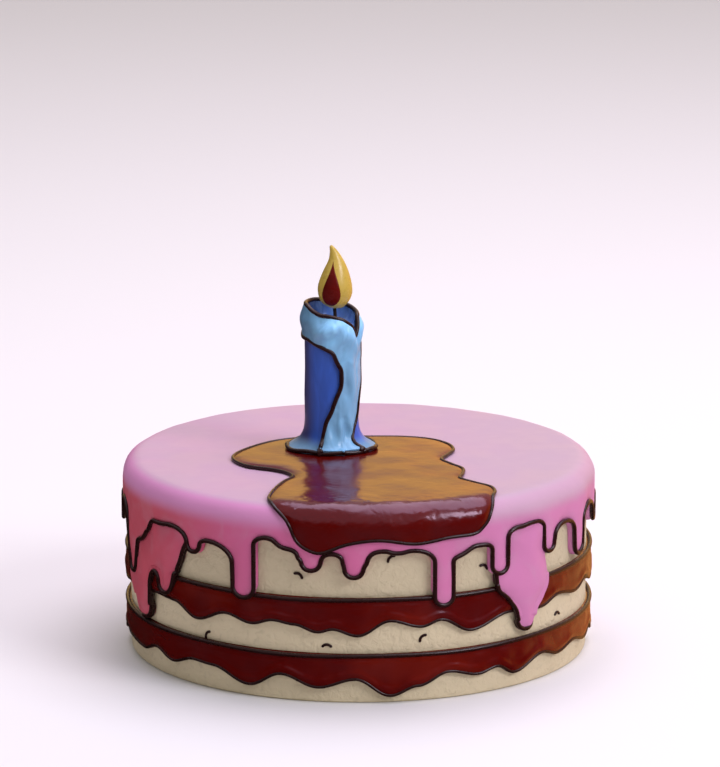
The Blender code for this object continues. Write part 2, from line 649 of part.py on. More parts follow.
def turned(name, profile, steps, place, collection, finish):
    """A turned solid from a profile of (radius, height), listed from the top down."""
    mesh = bpy.data.meshes.new(name)
    edges = [(i, i + 1) for i in range(len(profile) - 1)]
    mesh.from_pydata([(r, 0, z) for r, z in profile], edges, [])
    made = new_object(name, mesh, collection, finish)
    made.location = place
    screw = made.modifiers.new("turn", "SCREW")
    screw.steps = screw.render_steps = steps
    screw.use_merge_vertices = True
    screw.merge_threshold = 0.00001
    screw.use_smooth_shade = True
    return made


def candle_body(collection):
    """The blue candle: a column with a spread foot, whose edge carries a raised bead, and a dished top."""
    profile = [
        (0, CANDLE_TOP - 0.9 * MM),
        (CANDLE_RADIUS - 2.5 * MM, CANDLE_TOP),
        (CANDLE_RADIUS - 0.5 * MM, CANDLE_TOP - 0.3 * MM),
        *CANDLE_SIDE,
        (FOOT_RADIUS - 0.5 * MM, CANDLE_BASE + 1.9 * MM),
        (FOOT_RADIUS + 0.5 * MM, CANDLE_BASE + 1.0 * MM),
        (FOOT_RADIUS, CANDLE_BASE),
        (0, CANDLE_BASE),
    ]
    return turned("candle_body", profile, 30, (CANDLE_X, CANDLE_Y, 0), collection, "blue_candle")


def wax_line(stations, steps):
    """A line on the unrolled wax coat, from stations of degrees, height in mm and heading."""
    to_length = math.radians(1) * WAX_RADIUS
    return bezier_path([(a * to_length, z * MM, h) for a, z, h in stations], steps)


def wax_point(flat, proud):
    """A point of the unrolled wax coat (length, height), standing proud of the candle by an amount. Above
    the candle's top the coat leans inwards."""
    angle = flat[:, 0] / WAX_RADIUS
    side = np.array(CANDLE_SIDE)[::-1] + (1.5 * GAP, 0)
    r = np.interp(flat[:, 1], side[:, 1], side[:, 0])
    lean = np.clip((flat[:, 1] - CANDLE_TOP - 0.6 * MM) / (7.0 * MM), 0, 1)
    r += (RIM_BACK_RADIUS - CANDLE_RADIUS - 1.5 * GAP) * lean + proud
    return np.stack([CANDLE_X + r * np.sin(angle), CANDLE_Y - r * np.cos(angle), flat[:, 1]], 1)


def wax_face(flat, rim):
    """How far the coat's face stands proud: it swells below the rim and thins towards it."""
    below = np.interp(flat[:, 0], rim[:, 0], rim[:, 1]) - flat[:, 1]
    swell = np.exp(-(((below - 6 * MM) / (4.5 * MM)) ** 2))
    return 0.75 * MM + WAX_BULGE * swell


def wax_coat(collection):
    """Light wax that has run over the candle's rim and down its front right side to the foot."""
    hem, rim = wax_line(WAX_HEM, 3), wax_line(WAX_RIM, 3)
    rows = {d: shift_inwards(hem, d * MM, closed=False) for d in (-0.6, 0.0, 0.9)}
    rims = {d: shift_inwards(rim, -d * MM, closed=False) for d in (0.0, 0.5, 1.5)}
    skin = Skin()
    hem_back, hem_bead = wax_point(rows[-0.6], 0), wax_point(rows[0.0], 1.2 * MM)
    hem_face = wax_point(rows[0.9], wax_face(rows[0.9], rim))
    skin.ribbon(hem_back, hem_bead, closed=False)
    skin.ribbon(hem_bead, hem_face, closed=False)
    rim_back, rim_crown = wax_point(rims[0.5], 0), wax_point(rims[0.0], 0.9 * MM)
    rim_face = wax_point(rims[1.5], wax_face(rims[1.5], rim) + 0.2 * MM)
    skin.ribbon(rim_back, rim_crown, closed=False)
    skin.ribbon(rim_crown, rim_face, closed=False)
    heights = [*np.arange(93, 136, 6.0) * MM, CANDLE_TOP + 0.6 * MM, 145 * MM]
    grid = np.array([(a * WAX_RADIUS, z) for z in heights for a in np.radians(np.arange(-172.5, 180, 15))])
    seam = [CANDLE_TOP + 0.6 * MM, 145 * MM]
    for low, high, face in ((rows[0.9], rims[1.5], True), (rows[-0.6], rims[0.5], False)):
        sides = [z for z in seam if low[0, 1] + 1 * MM < z < high[0, 1] - 1 * MM]
        loop = np.concatenate(
            [low, [(low[-1, 0], z) for z in sides], high[::-1], [(low[0, 0], z) for z in sides[::-1]]]
        )
        flat, triangles = filled(loop, grid, 1.4 * MM)
        near_rim = np.linalg.norm(flat[:, None] - high[None], axis=2).min(1) < 0.01 * MM
        proud = wax_face(flat, rim) + np.where(near_rim, 0.2 * MM, 0.0) if face else 0.0
        skin.add(wax_point(flat, proud), triangles)
    return new_object("wax_coat", skin.mesh("wax_coat"), collection, "light_wax")


def wick(collection):
    """The wick, from just above the candle's dished top to just below the flame."""
    bpy.ops.mesh.primitive_cylinder_add(
        vertices=10, radius=WICK_RADIUS, depth=FLAME_BASE - GAP - WICK_BASE,
        location=(FLAME_X, CANDLE_Y, (FLAME_BASE - GAP + WICK_BASE) / 2),
    )
    made = bpy.context.object
    made.name = "wick"
    for other in list(made.users_collection):
        other.objects.unlink(made)
    collection.objects.link(made)
    made.data.materials.append(material("wick"))
    return made


def teardrop(share):
    """Radius of a drop at a share of its height, from 0 at the base to 1 at the tip, as a share of its
    largest radius."""
    return np.where(
        share < 0.3,
        np.sqrt(np.clip(1 - ((0.3 - share) / 0.3) ** 2, 0, 1)),
        1 - np.clip((share - 0.3) / 0.7, 0, 1) ** 1.55,
    )


def flame(collection):
    """The moulded flame: a drop that leans at its tip, and a flat dark drop on its front."""
    height = FLAME_TIP - FLAME_BASE
    shares = np.concatenate([[0.0], np.linspace(0.04, 0.96, 11), [1.0]])
    profile = [(max(float(FLAME_RADIUS * teardrop(s)), 0.0), float(height * s)) for s in shares[::-1]]
    profile[0] = (0.0, height)
    profile[1] = (0.9 * MM, profile[1][1])
    drop = turned("flame", profile, 20, (FLAME_X, CANDLE_Y, FLAME_BASE), collection, "flame_yellow")
    bpy.context.view_layer.update()
    mesh = bpy.data.meshes.new_from_object(drop.evaluated_get(bpy.context.evaluated_depsgraph_get()))
    drop.modifiers.clear()
    drop.data = mesh
    co = np.empty(len(mesh.vertices) * 3)
    mesh.vertices.foreach_get("co", co)
    co = co.reshape(-1, 3)
    lean = np.clip((co[:, 2] / height - 0.45) / 0.55, 0, 1) ** 2
    co[:, 0] -= 1.3 * MM * lean
    mesh.vertices.foreach_set("co", co.ravel())

    core_low, core_high, core_half = 150.4 * MM, 169.3 * MM, 4.0 * MM
    share = np.linspace(0, 1, 9)
    middle = -12.0 * MM + 1.0 * MM * share**1.5
    z = core_low + (core_high - core_low) * share
    skin = Skin()
    rows = []
    for across in (-1.0, -0.5, 0.0, 0.5, 1.0):
        x = middle + across * core_half * teardrop(share)
        up = (z - FLAME_BASE) / height
        leaning = 1.3 * MM * np.clip((up - 0.45) / 0.55, 0, 1) ** 2
        off = x - FLAME_X + leaning
        r = FLAME_RADIUS * teardrop(up) + 1.3 * GAP
        y = CANDLE_Y - np.sqrt(np.maximum(r**2 - off**2, (0.2 * MM) ** 2))
        rows.append(np.stack([x, y, z], 1))
    front = [row - np.array([0, 0.45 * MM, 0]) for row in rows]
    for a, b in zip(rows, rows[1:]):
        skin.ribbon(a, b, closed=False)
    for a, b in zip(front, front[1:]):
        skin.ribbon(a, b, closed=False)
    skin.ribbon(rows[0], front[0], closed=False)
    skin.ribbon(rows[-1], front[-1], closed=False)
    new_object("flame_core", skin.mesh("flame_core"), collection, "flame_red")


def build():
    clear_scene()
    cake = bpy.data.collections.new("outlined_cake")
    bpy.context.scene.collection.children.link(cake)
    slab = {name: (z + 0.5 * MM - SLAB_DEPTH, z + 0.5 * MM) for name, z in FILLING_TOPS.items()}
    sponge("sponge_bottom", 0.0, slab["filling_lower"][0] - GAP, 0, SPONGE_BASE_ROUND, cake)
    sponge("sponge_middle", slab["filling_lower"][1] + GAP, slab["filling_upper"][0] - GAP, 0, 0, cake)
    sponge("sponge_top", slab["filling_upper"][1] + GAP, SPONGE_TOP, SPONGE_EDGE_ROUND, 0, cake)
    for name in FILLING_TOPS:
        filling(name, cake)
    pink_icing(cake)
    puddle(cake)
    candle_body(cake)
    wax_coat(cake)
    wick(cake)
    flame(cake)


build()
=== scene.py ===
"""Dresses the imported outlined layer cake: cream, chocolate bands, pink icing with runs, a chocolate
puddle, a wax-dripped candle with a moulded flame, and the dark piped outlines. The front faces -Y."""

import math

import bmesh
import bpy
import numpy as np
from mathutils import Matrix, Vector
from mathutils.geometry import delaunay_2d_cdt


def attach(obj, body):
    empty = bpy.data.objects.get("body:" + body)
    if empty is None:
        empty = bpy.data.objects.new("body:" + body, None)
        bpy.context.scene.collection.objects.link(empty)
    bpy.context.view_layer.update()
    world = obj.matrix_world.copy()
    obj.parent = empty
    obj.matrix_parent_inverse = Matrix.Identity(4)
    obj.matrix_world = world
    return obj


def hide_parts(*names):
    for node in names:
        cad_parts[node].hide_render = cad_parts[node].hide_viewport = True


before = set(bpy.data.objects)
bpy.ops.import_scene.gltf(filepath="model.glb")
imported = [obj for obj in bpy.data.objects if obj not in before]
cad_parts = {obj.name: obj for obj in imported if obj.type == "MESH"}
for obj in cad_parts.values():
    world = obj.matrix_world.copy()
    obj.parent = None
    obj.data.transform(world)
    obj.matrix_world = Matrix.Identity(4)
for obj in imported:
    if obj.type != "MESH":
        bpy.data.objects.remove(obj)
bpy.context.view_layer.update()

bl_info = {
    "name": "Outlined Cake",
    "version": (1, 0, 0),
    "blender": (4, 5, 0),
    "location": "View3D > Sidebar > Cake",
    "description": "Dresses the packed layer cake with icing, chocolate, a candle and piped outlines",
    "category": "Object",
}

MM = 0.001
HANDLE = 0.552  # handle length that turns a quarter of an ellipse
CHUNK = 800  # points measured at once

# Cream layers: how round their edges are, at the cake's base and top and where a band cuts through
BASE_ROUND = 1.4 * MM
TOP_ROUND = 5 * MM
CUT_ROUND = 0.1 * MM
CRUMB_BEND = 2.3 * MM  # radius of a crumb mark's arc

# Bands: the slab's rise above the band's top line, its thickness, and the gap to the cream
SLAB_RISE = 0.5 * MM
SLAB_DEPTH = 8.6 * MM
GAP = 0.1 * MM

# Icing: where its back stands clear of the upper band and how far out, and the height where its cap starts
BAND_CLEARANCE = (29.0 * MM, 30.0 * MM, 47.5 * MM, 48.5 * MM)
BAND_CLEAR_RADIUS = 102.85 * MM
CAP_START = 75.5 * MM
HEM_STEP = 0.8 * MM  # between the points of a hem and of the puddle's edge

# Runs: how high a tip's rounding starts in half widths, how far a crest's rounding reaches down against
# its width and against the run's height, and by how much the back's runs differ and their lowest tip in mm
TIP_ROUND = 0.9
CREST_ROUND = 0.62
CREST_MOST = 0.8
RUN_CHANGE = (-2.5, 4.0)
LOWEST_TIP = 40.0

# Candle: its foot flares by a share that falls off e-fold every flare length
CANDLE_X = -11.9 * MM
CANDLE_Y = 2.5 * MM
CANDLE_RADIUS = 11.7 * MM
CANDLE_TOP = 140.4 * MM
CANDLE_BASE = 86.6 * MM
FLARE_FOOT = 87.9 * MM
FLARE_SPREAD = 7.6 * MM
FLARE_LENGTH = 3.03 * MM
FOOT_LINE = 87.5 * MM  # height of the foot's outline
WAX_RADIUS = 12.7 * MM
LUMP_GAIN = 2.3  # how many times as deep the lumps are made as WAX_LUMPS says
STREAK = (1.0, 1.0, 4.5)  # how far the streaks of both waxes are drawn out
CUP_RADIUS = 10.35 * MM  # of the lining of the wax cup
CUP_OUTER = 10.55 * MM  # of that lining's underside
WICK_X = -10.45 * MM
WICK_TOP = 149.0 * MM
WICK_RADIUS = 0.78 * MM

# The flame's dark heart: its height from and to, half its width, the share of its height where it is
# widest, where its foot stands across the cake and how far its tip leans to the right
HEART_LOW = 150.6 * MM
HEART_HIGH = 170.3 * MM
HEART_WIDTH = 4.05 * MM
HEART_PEAK = 0.27
HEART_X = -11.95 * MM
HEART_LEAN = 1.0 * MM

# Camera, in metres, with the way it looks
CAMERA_PLACE = (0, -2.1269, 0.6027)
CAMERA_WAY = (1.4, 4880.1, -1117.9)
LENS = 234.68  # mm
SENSOR = 36  # mm

# Lights: name, place and size in metres, power in watts, colour, spread in degrees
LIGHTS = (
    ("key", (2.1, -1.5, 1.7), (1.3, 1.0), 42, (0.93, 0.90, 1.0), 180),
    ("overhead", (0.35, 0.3, 1.6), (1.9, 1.4), 27, (0.87, 0.79, 1.0), 180),
    ("warm_back", (0.0, 2.6, 0.85), (4.2, 1.3), 2.15, (1.0, 0.70, 0.22), 70),
    ("low_fill", (-0.7, -2.4, 0.14), (1.4, 0.25), 3.6, (1.0, 0.96, 0.9), 180),
)

# Surroundings: dim in front, golden behind and pale above, each as a way, how far along it the colour
# starts and is full, and the colour
DIM = (0.018, 0.011, 0.010)
GOLDEN = ((0.9, 1.0, 0.0), 0.6, 1.3, (0.95, 0.40, 0.12))
PALE = ((0.0, 0.0, 1.0), 0.22, 0.55, (0.52, 0.50, 0.53))

# The icing's hem from left to right: a run is (centre in degrees, tip height in mm, width in mm, how far
# its left and its right flank lean out in mm), a crest is (angle in degrees, height in mm), and a ledge
# is a crest with a heading in degrees.
FRONT_HEM = (
    ("crest", -82.0, 68.4),
    ("run", -71.2, 40.4, 7.6, 6.0, 2.2),
    ("ledge", -63.6, 58.8, 48),
    ("ledge", -60.2, 65.2, 60),
    ("crest", -56.4, 67.6),
    ("crest", -50.8, 68.4),
    ("run", -43.1, 59.5, 7.6, 0.8, 0.7),
    ("crest", -38.2, 65.6),
    ("run", -28.3, 43.6, 10.2, 0.3, 0.0),
    ("crest", -22.3, 70.7),
    ("ledge", -17.3, 66.9, -8),
    ("run", -11.3, 58.0, 8.6, 1.3, 0.8),
    ("crest", -6.4, 65.5),
    ("run", -1.1, 55.4, 8.2, 0.8, 1.6),
    ("crest", 5.7, 66.7),
    ("ledge", 9.2, 65.7, 0),
    ("crest", 12.9, 66.5),
    ("run", 20.5, 41.8, 8.4, 0.0, 0.0),
    ("ledge", 26.4, 64.2, 30),
    ("crest", 30.8, 66.0),
    ("run", 35.6, 52.3, 8.3, 0.0, 0.2),
    ("crest", 41.2, 70.9),
    ("crest", 46.8, 71.6),
    ("run", 52.2, 56.7, 7.4, 0.2, 0.6),
    ("crest", 58.9, 67.1),
    ("run", 67.3, 49.8, 9.4, 0.5, 0.4),
    ("crest", 75.2, 68.8),
    ("run", 83.6, 58.0, 9.4, 0.2, 0.4),
)
SIDE_RUN = (("crest", 89.9, 67.6), ("run", 93.9, 57.5, 6.4, 0.2, 0.2))
# The under coat's two big runs as turning points: degrees, height in mm, heading in degrees.
UNDER_LEFT = (
    (-80.5, 74.0, -90), (-77.6, 52.0, -77), (-74.2, 39.0, -70), (-70.0, 29.0, -62), (-64.2, 23.2, 0),
    (-61.0, 28.0, 88), (-60.8, 38.0, 90), (-58.2, 45.8, 0), (-56.1, 41.8, -86),
    (-53.8, 38.0, 0), (-50.4, 45.5, 76), (-47.6, 57.0, 70), (-42.8, 74.0, 85),
)
UNDER_RIGHT = (
    (34.8, 74.0, -90), (35.0, 48.0, -86), (38.8, 39.4, -52), (41.4, 30.5, -78), (44.6, 25.4, 0),
    (47.3, 31.0, 80), (50.0, 38.2, 55), (51.8, 46.0, 92), (50.6, 60.0, 93), (50.5, 74.0, 90),
)
# Wavy lower edge of each band on the front: its dips and crests as degrees and height in mm.
BAND_WAVES = {
    "filling_upper": (
        (-75, 33.8), (-66, 35.6), (-57, 36.0), (-50.5, 35.5), (-42.5, 30.4), (-33.5, 35.4), (-26.5, 32.7),
        (-20.8, 35.1), (-15.5, 34.0), (-9.8, 31.2), (-6.2, 32.6), (-0.3, 29.9), (7.5, 36.2), (15.2, 33.1),
        (19.9, 35.4), (27.9, 29.4), (38.8, 34.4), (50.0, 32.8), (57.2, 35.7), (67.0, 33.2), (75.0, 35.6),
        (83.0, 31.8), (90.5, 35.4), (97.5, 32.6),
    ),
    "filling_lower": (
        (-76, 9.4), (-65.5, 8.5), (-58.5, 11.7), (-51.5, 8.5), (-43.8, 11.9), (-37.5, 11.4), (-27.2, 5.8),
        (-18.8, 11.9), (-9.8, 7.1), (-0.8, 10.9), (7.6, 3.6), (14.3, 7.3), (22.0, 12.3), (30.0, 9.6),
        (35.3, 11.4), (40.8, 7.2), (50.5, 12.3), (57.3, 9.6), (65.5, 11.7), (74.5, 8.8),
        (81.5, 11.6), (89.5, 6.2), (97.0, 12.0),
    ),
}
FILLING_TOPS = {"filling_lower": 21.0 * MM, "filling_upper": 45.4 * MM}
# The puddle's outline, on the top as x and y in mm and then down the side as degrees and height in mm.
PUDDLE_TOP_RIGHT = (
    (-14, 25), (3, 26), (20, 25.5), (32, 21), (39.5, 12), (41.5, 2), (38.5, -8), (36, -16), (40.5, -25),
    (45, -33), (44.5, -43), (43.5, -50), (50, -58), (56.3, -65), (57.8, -72.5), (56.6, -79.5),
)
PUDDLE_SIDE = (
    (33.6, 82.2), (32.4, 79.2), (30.8, 75.2), (28.0, 71.9), (22.0, 71.5), (13.5, 69.8), (4.5, 71.8),
    (-2.5, 70.2), (-8.6, 66.2), (-12.3, 67.7), (-14.7, 71.3), (-16.7, 78.4),
)
PUDDLE_TOP_LEFT = (
    (-35.5, -93.0), (-37.8, -85.5), (-36.9, -75.5), (-34.7, -65), (-31.6, -55), (-28.1, -47.3),
    (-30.6, -40), (-37, -33.8), (-48, -27.5), (-54, -17), (-54, -7), (-48, 5), (-38, 17), (-26, 23.5),
)
# The puddle's rounded edge: how far in from its outline and how far above the icing, in mm.
PUDDLE_PROFILE = ((-0.4, 0.25), (-0.42, 0.6), (-0.1, 0.95), (0.5, 1.05), (1.1, 1.3), (1.9, 1.62), (2.9, 1.85))
# The wax coat's lower edge round the candle: degrees, height along the side in mm, heading in degrees.
WAX_HEM = (
    (-180, 136.5, 0), (-148, 131.5, 0), (-118, 138.8, 0), (-75, 136.4, 0), (-36, 134.9, -22),
    (-6, 132.3, -25), (10, 127.8, -68), (21.5, 121.5, -88), (4, 107.0, -108), (-13, 97.2, -100),
    (-16.5, 90.0, -94), (-19.0, 84.4, -100), (50.0, 84.4, 100), (42.5, 91.3, 95), (46.0, 95.0, 70),
    (61, 101.7, 70), (76, 112.0, 66), (98, 121.5, 80), (94, 131.0, 90), (118, 136.5, 0),
    (138, 129.0, 0), (156, 133.5, 40), (180, 136.5, 0),
)
# The wax rim round the candle, with a notch at the front right: degrees, height in mm, heading.
WAX_RIM = (
    (-180, 149.6, 8), (-90, 150.8, 0), (-38, 148.2, -18), (5, 146.6, -14), (38, 143.6, -34),
    (57.5, 137.8, -60), (61.5, 137.8, 60), (76, 144.0, 65), (92, 146.0, 10), (132, 147.8, 12),
    (180, 149.6, 8),
)
# Soft lumps and dents in the wax: degrees, height, width and length in mm, turn in degrees, depth in mm.
WAX_LUMPS = (
    (-30, 143.5, 3.0, 9.0, -62, -0.55), (-10, 141.0, 2.6, 8.0, -55, 0.5), (6, 137.5, 2.4, 7.0, -50, -0.6),
    (-4, 134.5, 1.8, 6.0, -60, 0.35), (26, 131.0, 2.4, 6.0, -20, -0.35), (40, 126.0, 3.0, 8.0, 0, 0.4),
    (30, 115.5, 1.7, 5.0, 10, -0.6), (22, 119.0, 1.6, 4.5, 15, 0.35), (48, 116.0, 2.0, 8.0, 5, 0.35),
    (5, 99.0, 1.6, 6.0, -10, -0.55), (18, 97.5, 1.5, 5.0, 0, 0.55), (28, 95.5, 1.5, 5.0, 10, -0.5),
    (38, 99.0, 1.6, 5.0, 8, 0.45), (-6, 93.0, 1.5, 5.0, -10, 0.45), (64, 132.0, 2.0, 8.0, 0, -0.5),
)
# Edge of the candle's spread foot: degrees and distance from the candle's middle in mm.
FOOT_EDGE = (
    (-180, 18.8), (-150, 19.4), (-118, 18.8), (-88, 19.6), (-62, 19.4), (-42, 17.6), (-26, 16.6),
    (-8, 17.2), (12, 17.0), (32, 17.4), (48, 18.2), (64, 19.4), (86, 19.7), (112, 18.7), (146, 19.3),
)
# Silhouette of the flame: height in mm, its left and right edge in mm across the cake.
FLAME_ROWS = (
    (148.70, -10.1, -9.7), (148.95, -12.3, -7.4), (149.50, -13.6, -6.3), (150.30, -15.0, -5.4),
    (152.0, -16.7, -4.1), (154.5, -17.5, -2.95), (157.0, -17.8, -2.7), (159.5, -17.5, -2.95),
    (162.5, -16.5, -3.6), (166.0, -15.0, -4.7), (170.0, -13.1, -6.5), (173.5, -12.5, -8.7),
    (175.5, -12.6, -10.4), (176.3, -12.4, -11.2), (176.6, -11.9, -11.7),
)
# Crumb marks on the cream's front: degrees, height in mm, turn in degrees.
CRUMB_MARKS = (
    (-15.1, 54.9, -30), (8.4, 63.0, 42), (31.5, 55.5, -28), (-39.2, 24.0, 55), (-7.7, 24.5, 0),
    (16.3, 27.8, 45), (58.4, 25.7, -5),
)


def length(name, description, size):
    """A length that a user can change."""
    return bpy.props.FloatProperty(name=name, description=description, default=size, unit="LENGTH")


def tint(name, description, colour):
    """A colour that a user can change."""
    return bpy.props.FloatVectorProperty(
        name=name, description=description, default=colour, subtype="COLOR")


class CakeSizes(bpy.types.PropertyGroup):
    """Sizes of the cake that a user would change."""

    cake_radius: length("Cake radius", "Radius of the cream side", 100 * MM)
    sponge_top: length("Cream height", "Height of the cream under the icing", 81.1 * MM)
    band_radius: length("Band radius", "Radius of the chocolate bands' faces", 102 * MM)
    band_bead: length("Band outline", "Radius of the bands' piped outlines", 0.9 * MM)
    icing_radius: length("Icing radius", "Radius of the icing's side", 103.3 * MM)
    icing_top: length("Icing height", "Height of the icing's top", 84.3 * MM)
    icing_shoulder: length("Icing shoulder", "Radius of the rounded top edge", 8 * MM)
    icing_bead: length("Icing outline", "Radius of the icing's piped outline", 1.0 * MM)
    puddle_bead: length("Puddle outline", "Radius of the puddle's piped outline", 0.78 * MM)
    wax_bead: length("Wax outline", "Radius of the wax coat's piped outline", 0.98 * MM)
    crumb_bead: length("Crumb mark", "Radius of the crumb marks' strokes", 0.62 * MM)


class CakeColours(bpy.types.PropertyGroup):
    """Colours of the cake's finishes."""

    cream: tint("Cream", "Cream covering", (0.60, 0.515, 0.34))
    chocolate: tint("Chocolate", "Bands and puddle", (0.088, 0.0014, 0.0004))
    chocolate_warm: tint("Warm chocolate", "Thinner places", (0.145, 0.006, 0.001))
    outline: tint("Outline", "Piped outlines", (0.016, 0.0035, 0.003))
    icing: tint("Icing side", "Pink icing's side", (0.62, 0.135, 0.30))
    # Paler than the side: painted light on the strongly lit top.
    icing_pale: tint("Icing top", "Pink icing's top", (0.485, 0.355, 0.425))
    candle: tint("Candle", "Blue candle", (0.034, 0.115, 0.53))
    wax: tint("Wax", "Light wax", (0.21, 0.47, 0.72))
    flame: tint("Flame", "Yellow flame", (0.52, 0.37, 0.062))
    flame_core: tint("Flame core", "Dark red core", (0.09, 0.004, 0.003))
    floor: tint("Floor", "Pale floor", (0.80, 0.80, 0.775))


def evenly(line, spacing):
    """A line cut again into steps of one length, by its length along itself."""
    along = np.concatenate([[0], np.cumsum(np.linalg.norm(np.diff(line, axis=0), axis=1))])
    places = np.linspace(0, along[-1], max(4, round(along[-1] / spacing) + 1))
    return np.stack([np.interp(places, along, line[:, i]) for i in range(line.shape[1])], 1)


def smooth_line(stations, spacing):
    """A line through stations (length, height, heading): a cubic between each two, whose handles follow
    the headings and are as long as a quarter of an ellipse needs."""
    rows = np.array(stations, float)
    a, b = rows[:-1, :2], rows[1:, :2]
    way = np.stack([np.cos(np.radians(rows[:, 2])), np.sin(np.radians(rows[:, 2]))], 1)
    least = 0.15 * np.linalg.norm(b - a, axis=1)
    out = HANDLE * np.maximum(((b - a) * way[:-1]).sum(1), least)[:, None]
    back = HANDLE * np.maximum(((b - a) * way[1:]).sum(1), least)[:, None]
    first, second = a + way[:-1] * out, b - way[1:] * back
    t = np.linspace(0, 1, 24, endpoint=False)[None, :, None]
    a, b, first, second = (x[:, None, :] for x in (a, b, first, second))
    curve = a * (1 - t) ** 3 + 3 * first * t * (1 - t) ** 2 + 3 * second * t**2 * (1 - t) + b * t**3
    return evenly(np.concatenate([curve.reshape(-1, 2), rows[-1:, :2]]), spacing)


def spline(a, b, c, d, steps):
    """Catmull-Rom curves from each point of b to that of c, with the points before and after them."""
    t = (np.arange(steps) / steps)[None, :, None]
    a, b, c, d = (x[:, None, :] for x in (a, b, c, d))
    curve = 0.5 * (2 * b + (c - a) * t + (2 * a - 5 * b + 4 * c - d) * t**2 + (3 * b - a - 3 * c + d) * t**3)
    return curve.reshape(-1, b.shape[-1])


def closed_spline(points, steps):
    """A closed smooth line through points."""
    p = np.array(points, float)
    return spline(np.roll(p, 1, 0), p, np.roll(p, -1, 0), np.roll(p, -2, 0), steps)


def round_the_edge(table, degrees):
    """A value read from a table of (degrees, value) that runs once round, on a smooth closed curve."""
    rows = closed_spline(table, 12)
    rows = rows[rows[:, 0].argsort()]
    return np.interp((np.asarray(degrees) + 180) % 360 - 180, rows[:, 0], rows[:, 1], period=360)


def shift_inwards(line, amount, closed=False):
    """The line moved to its left by an amount. Where it turns too tightly, the points that would fold back
    are spread along a straight line between those that don't."""
    if closed:
        tangent = np.roll(line, -1, 0) - np.roll(line, 1, 0)
    else:
        tangent = np.gradient(line, axis=0)
        tangent[[0, -1], 1] = 0
    tangent /= np.linalg.norm(tangent, axis=1)[:, None]
    moved = line + amount * np.stack([-tangent[:, 1], tangent[:, 0]], 1)
    kept = nearest(moved, line) >= 0.96 * abs(amount)
    index = np.arange(len(line))
    period = len(line) if closed else None
    return np.stack([np.interp(index, index[kept], moved[kept, i], period=period) for i in (0, 1)], 1)


def nearest(points, line):
    """Distance of each point from the nearest point of a line."""
    parts = [
        np.sqrt(((chunk[:, None] - line[None]) ** 2).sum(2).min(1))
        for chunk in np.array_split(points, max(1, len(points) // CHUNK))
    ]
    return np.concatenate(parts)


def inside(points, loop):
    """Which points lie within a closed loop, by counting crossings."""
    ax, ay = loop[:, 0], loop[:, 1]
    bx, by = np.roll(ax, -1), np.roll(ay, -1)
    slope = (bx - ax) / np.where(by == ay, 1e-12, by - ay)
    parts = []
    for chunk in np.array_split(points, max(1, len(points) // CHUNK)):
        x, y = chunk[:, :1], chunk[:, 1:2]
        straddles = (ay > y) != (by > y)
        parts.append((straddles & (x < ax + (y - ay) * slope)).sum(1) % 2 == 1)
    return np.concatenate(parts)


def filled(loop, lattice, clear):
    """A triangulated panel within a loop: the loop's points and the lattice points that are clear of it."""
    kept = lattice[inside(lattice, loop)]
    kept = kept[nearest(kept, loop) > clear]
    points = [Vector(p) for p in np.concatenate([loop, kept])]
    made = delaunay_2d_cdt(points, [], [list(range(len(loop)))], 0, 1e-9)
    triangles = [f for f, source in zip(made[2], made[5]) if source]
    return np.array([tuple(v) for v in made[0]]), np.array(triangles)


def grid(across, up):
    """The points (x, y) of a lattice, row by row."""
    x, y = np.meshgrid(across, up)
    return np.stack([x.ravel(), y.ravel()], 1)


def round_axis(angle, radius, height):
    """Points round the cake's axis, with the angle counted from the front towards the right."""
    return np.stack(np.broadcast_arrays(radius * np.sin(angle), -radius * np.cos(angle), height), -1)


def on_cylinder(radius):
    """The place of spots (angle, height) on an upright cylinder, for add_bead."""
    return lambda spots, lift: round_axis(spots[:, 0], radius + lift, spots[:, 1])


def ripple(points, wavelength, seed, waves=11):
    """A soft unevenness of about -1 to 1: a sum of sine waves in seeded directions."""
    rng = np.random.default_rng(seed)
    ways = rng.normal(size=(waves, 3))
    lengths = wavelength * rng.uniform(0.7, 1.6, waves)
    ways *= (2 * math.pi / lengths / np.linalg.norm(ways, axis=1))[:, None]
    return np.sin(points @ ways.T + rng.uniform(0, 2 * math.pi, waves)).sum(1) / math.sqrt(waves)


class Shell:
    """Gathers the sheets and panels of a piece before they are merged into one mesh."""

    def __init__(self):
        self.points = []
        self.faces = []
        self.count = 0

    def add(self, points, faces):
        self.points.append(np.asarray(points, float))
        self.faces += (np.asarray(faces) + self.count).tolist()
        self.count += len(points)

    def sheet(self, rows, around=False):
        """A grid of rows of points, each row joined to the next by quads."""
        rows = np.asarray(rows)
        many, across = rows.shape[:2]
        r = np.arange(many - 1)[:, None]
        c = np.arange(across if around else across - 1)[None]
        after, here, above = (c + 1) % across, r * across, (r + 1) * across
        quads = np.stack([here + c, here + after, above + after, above + c], -1)
        self.add(rows.reshape(-1, 3), quads.reshape(-1, 4))

    def piece(self, name, finish, sharp=60):
        """The merged mesh as an object with its finish: doubles joined and faces turned outwards."""
        mesh = bpy.data.meshes.new(name)
        mesh.from_pydata(np.concatenate(self.points).tolist(), [], self.faces)
        shape = bmesh.new()
        shape.from_mesh(mesh)
        bmesh.ops.remove_doubles(shape, verts=shape.verts, dist=0.004 * MM)
        bmesh.ops.dissolve_degenerate(shape, edges=shape.edges, dist=0.001 * MM)
        bmesh.ops.recalc_face_normals(shape, faces=shape.faces)
        shape.to_mesh(mesh)
        shape.free()
        mesh.shade_smooth()
        mesh.set_sharp_from_angle(angle=math.radians(sharp))
        mesh.materials.append(finish)
        made = bpy.data.objects.new(name, mesh)
        bpy.context.scene.collection.objects.link(made)
        return made


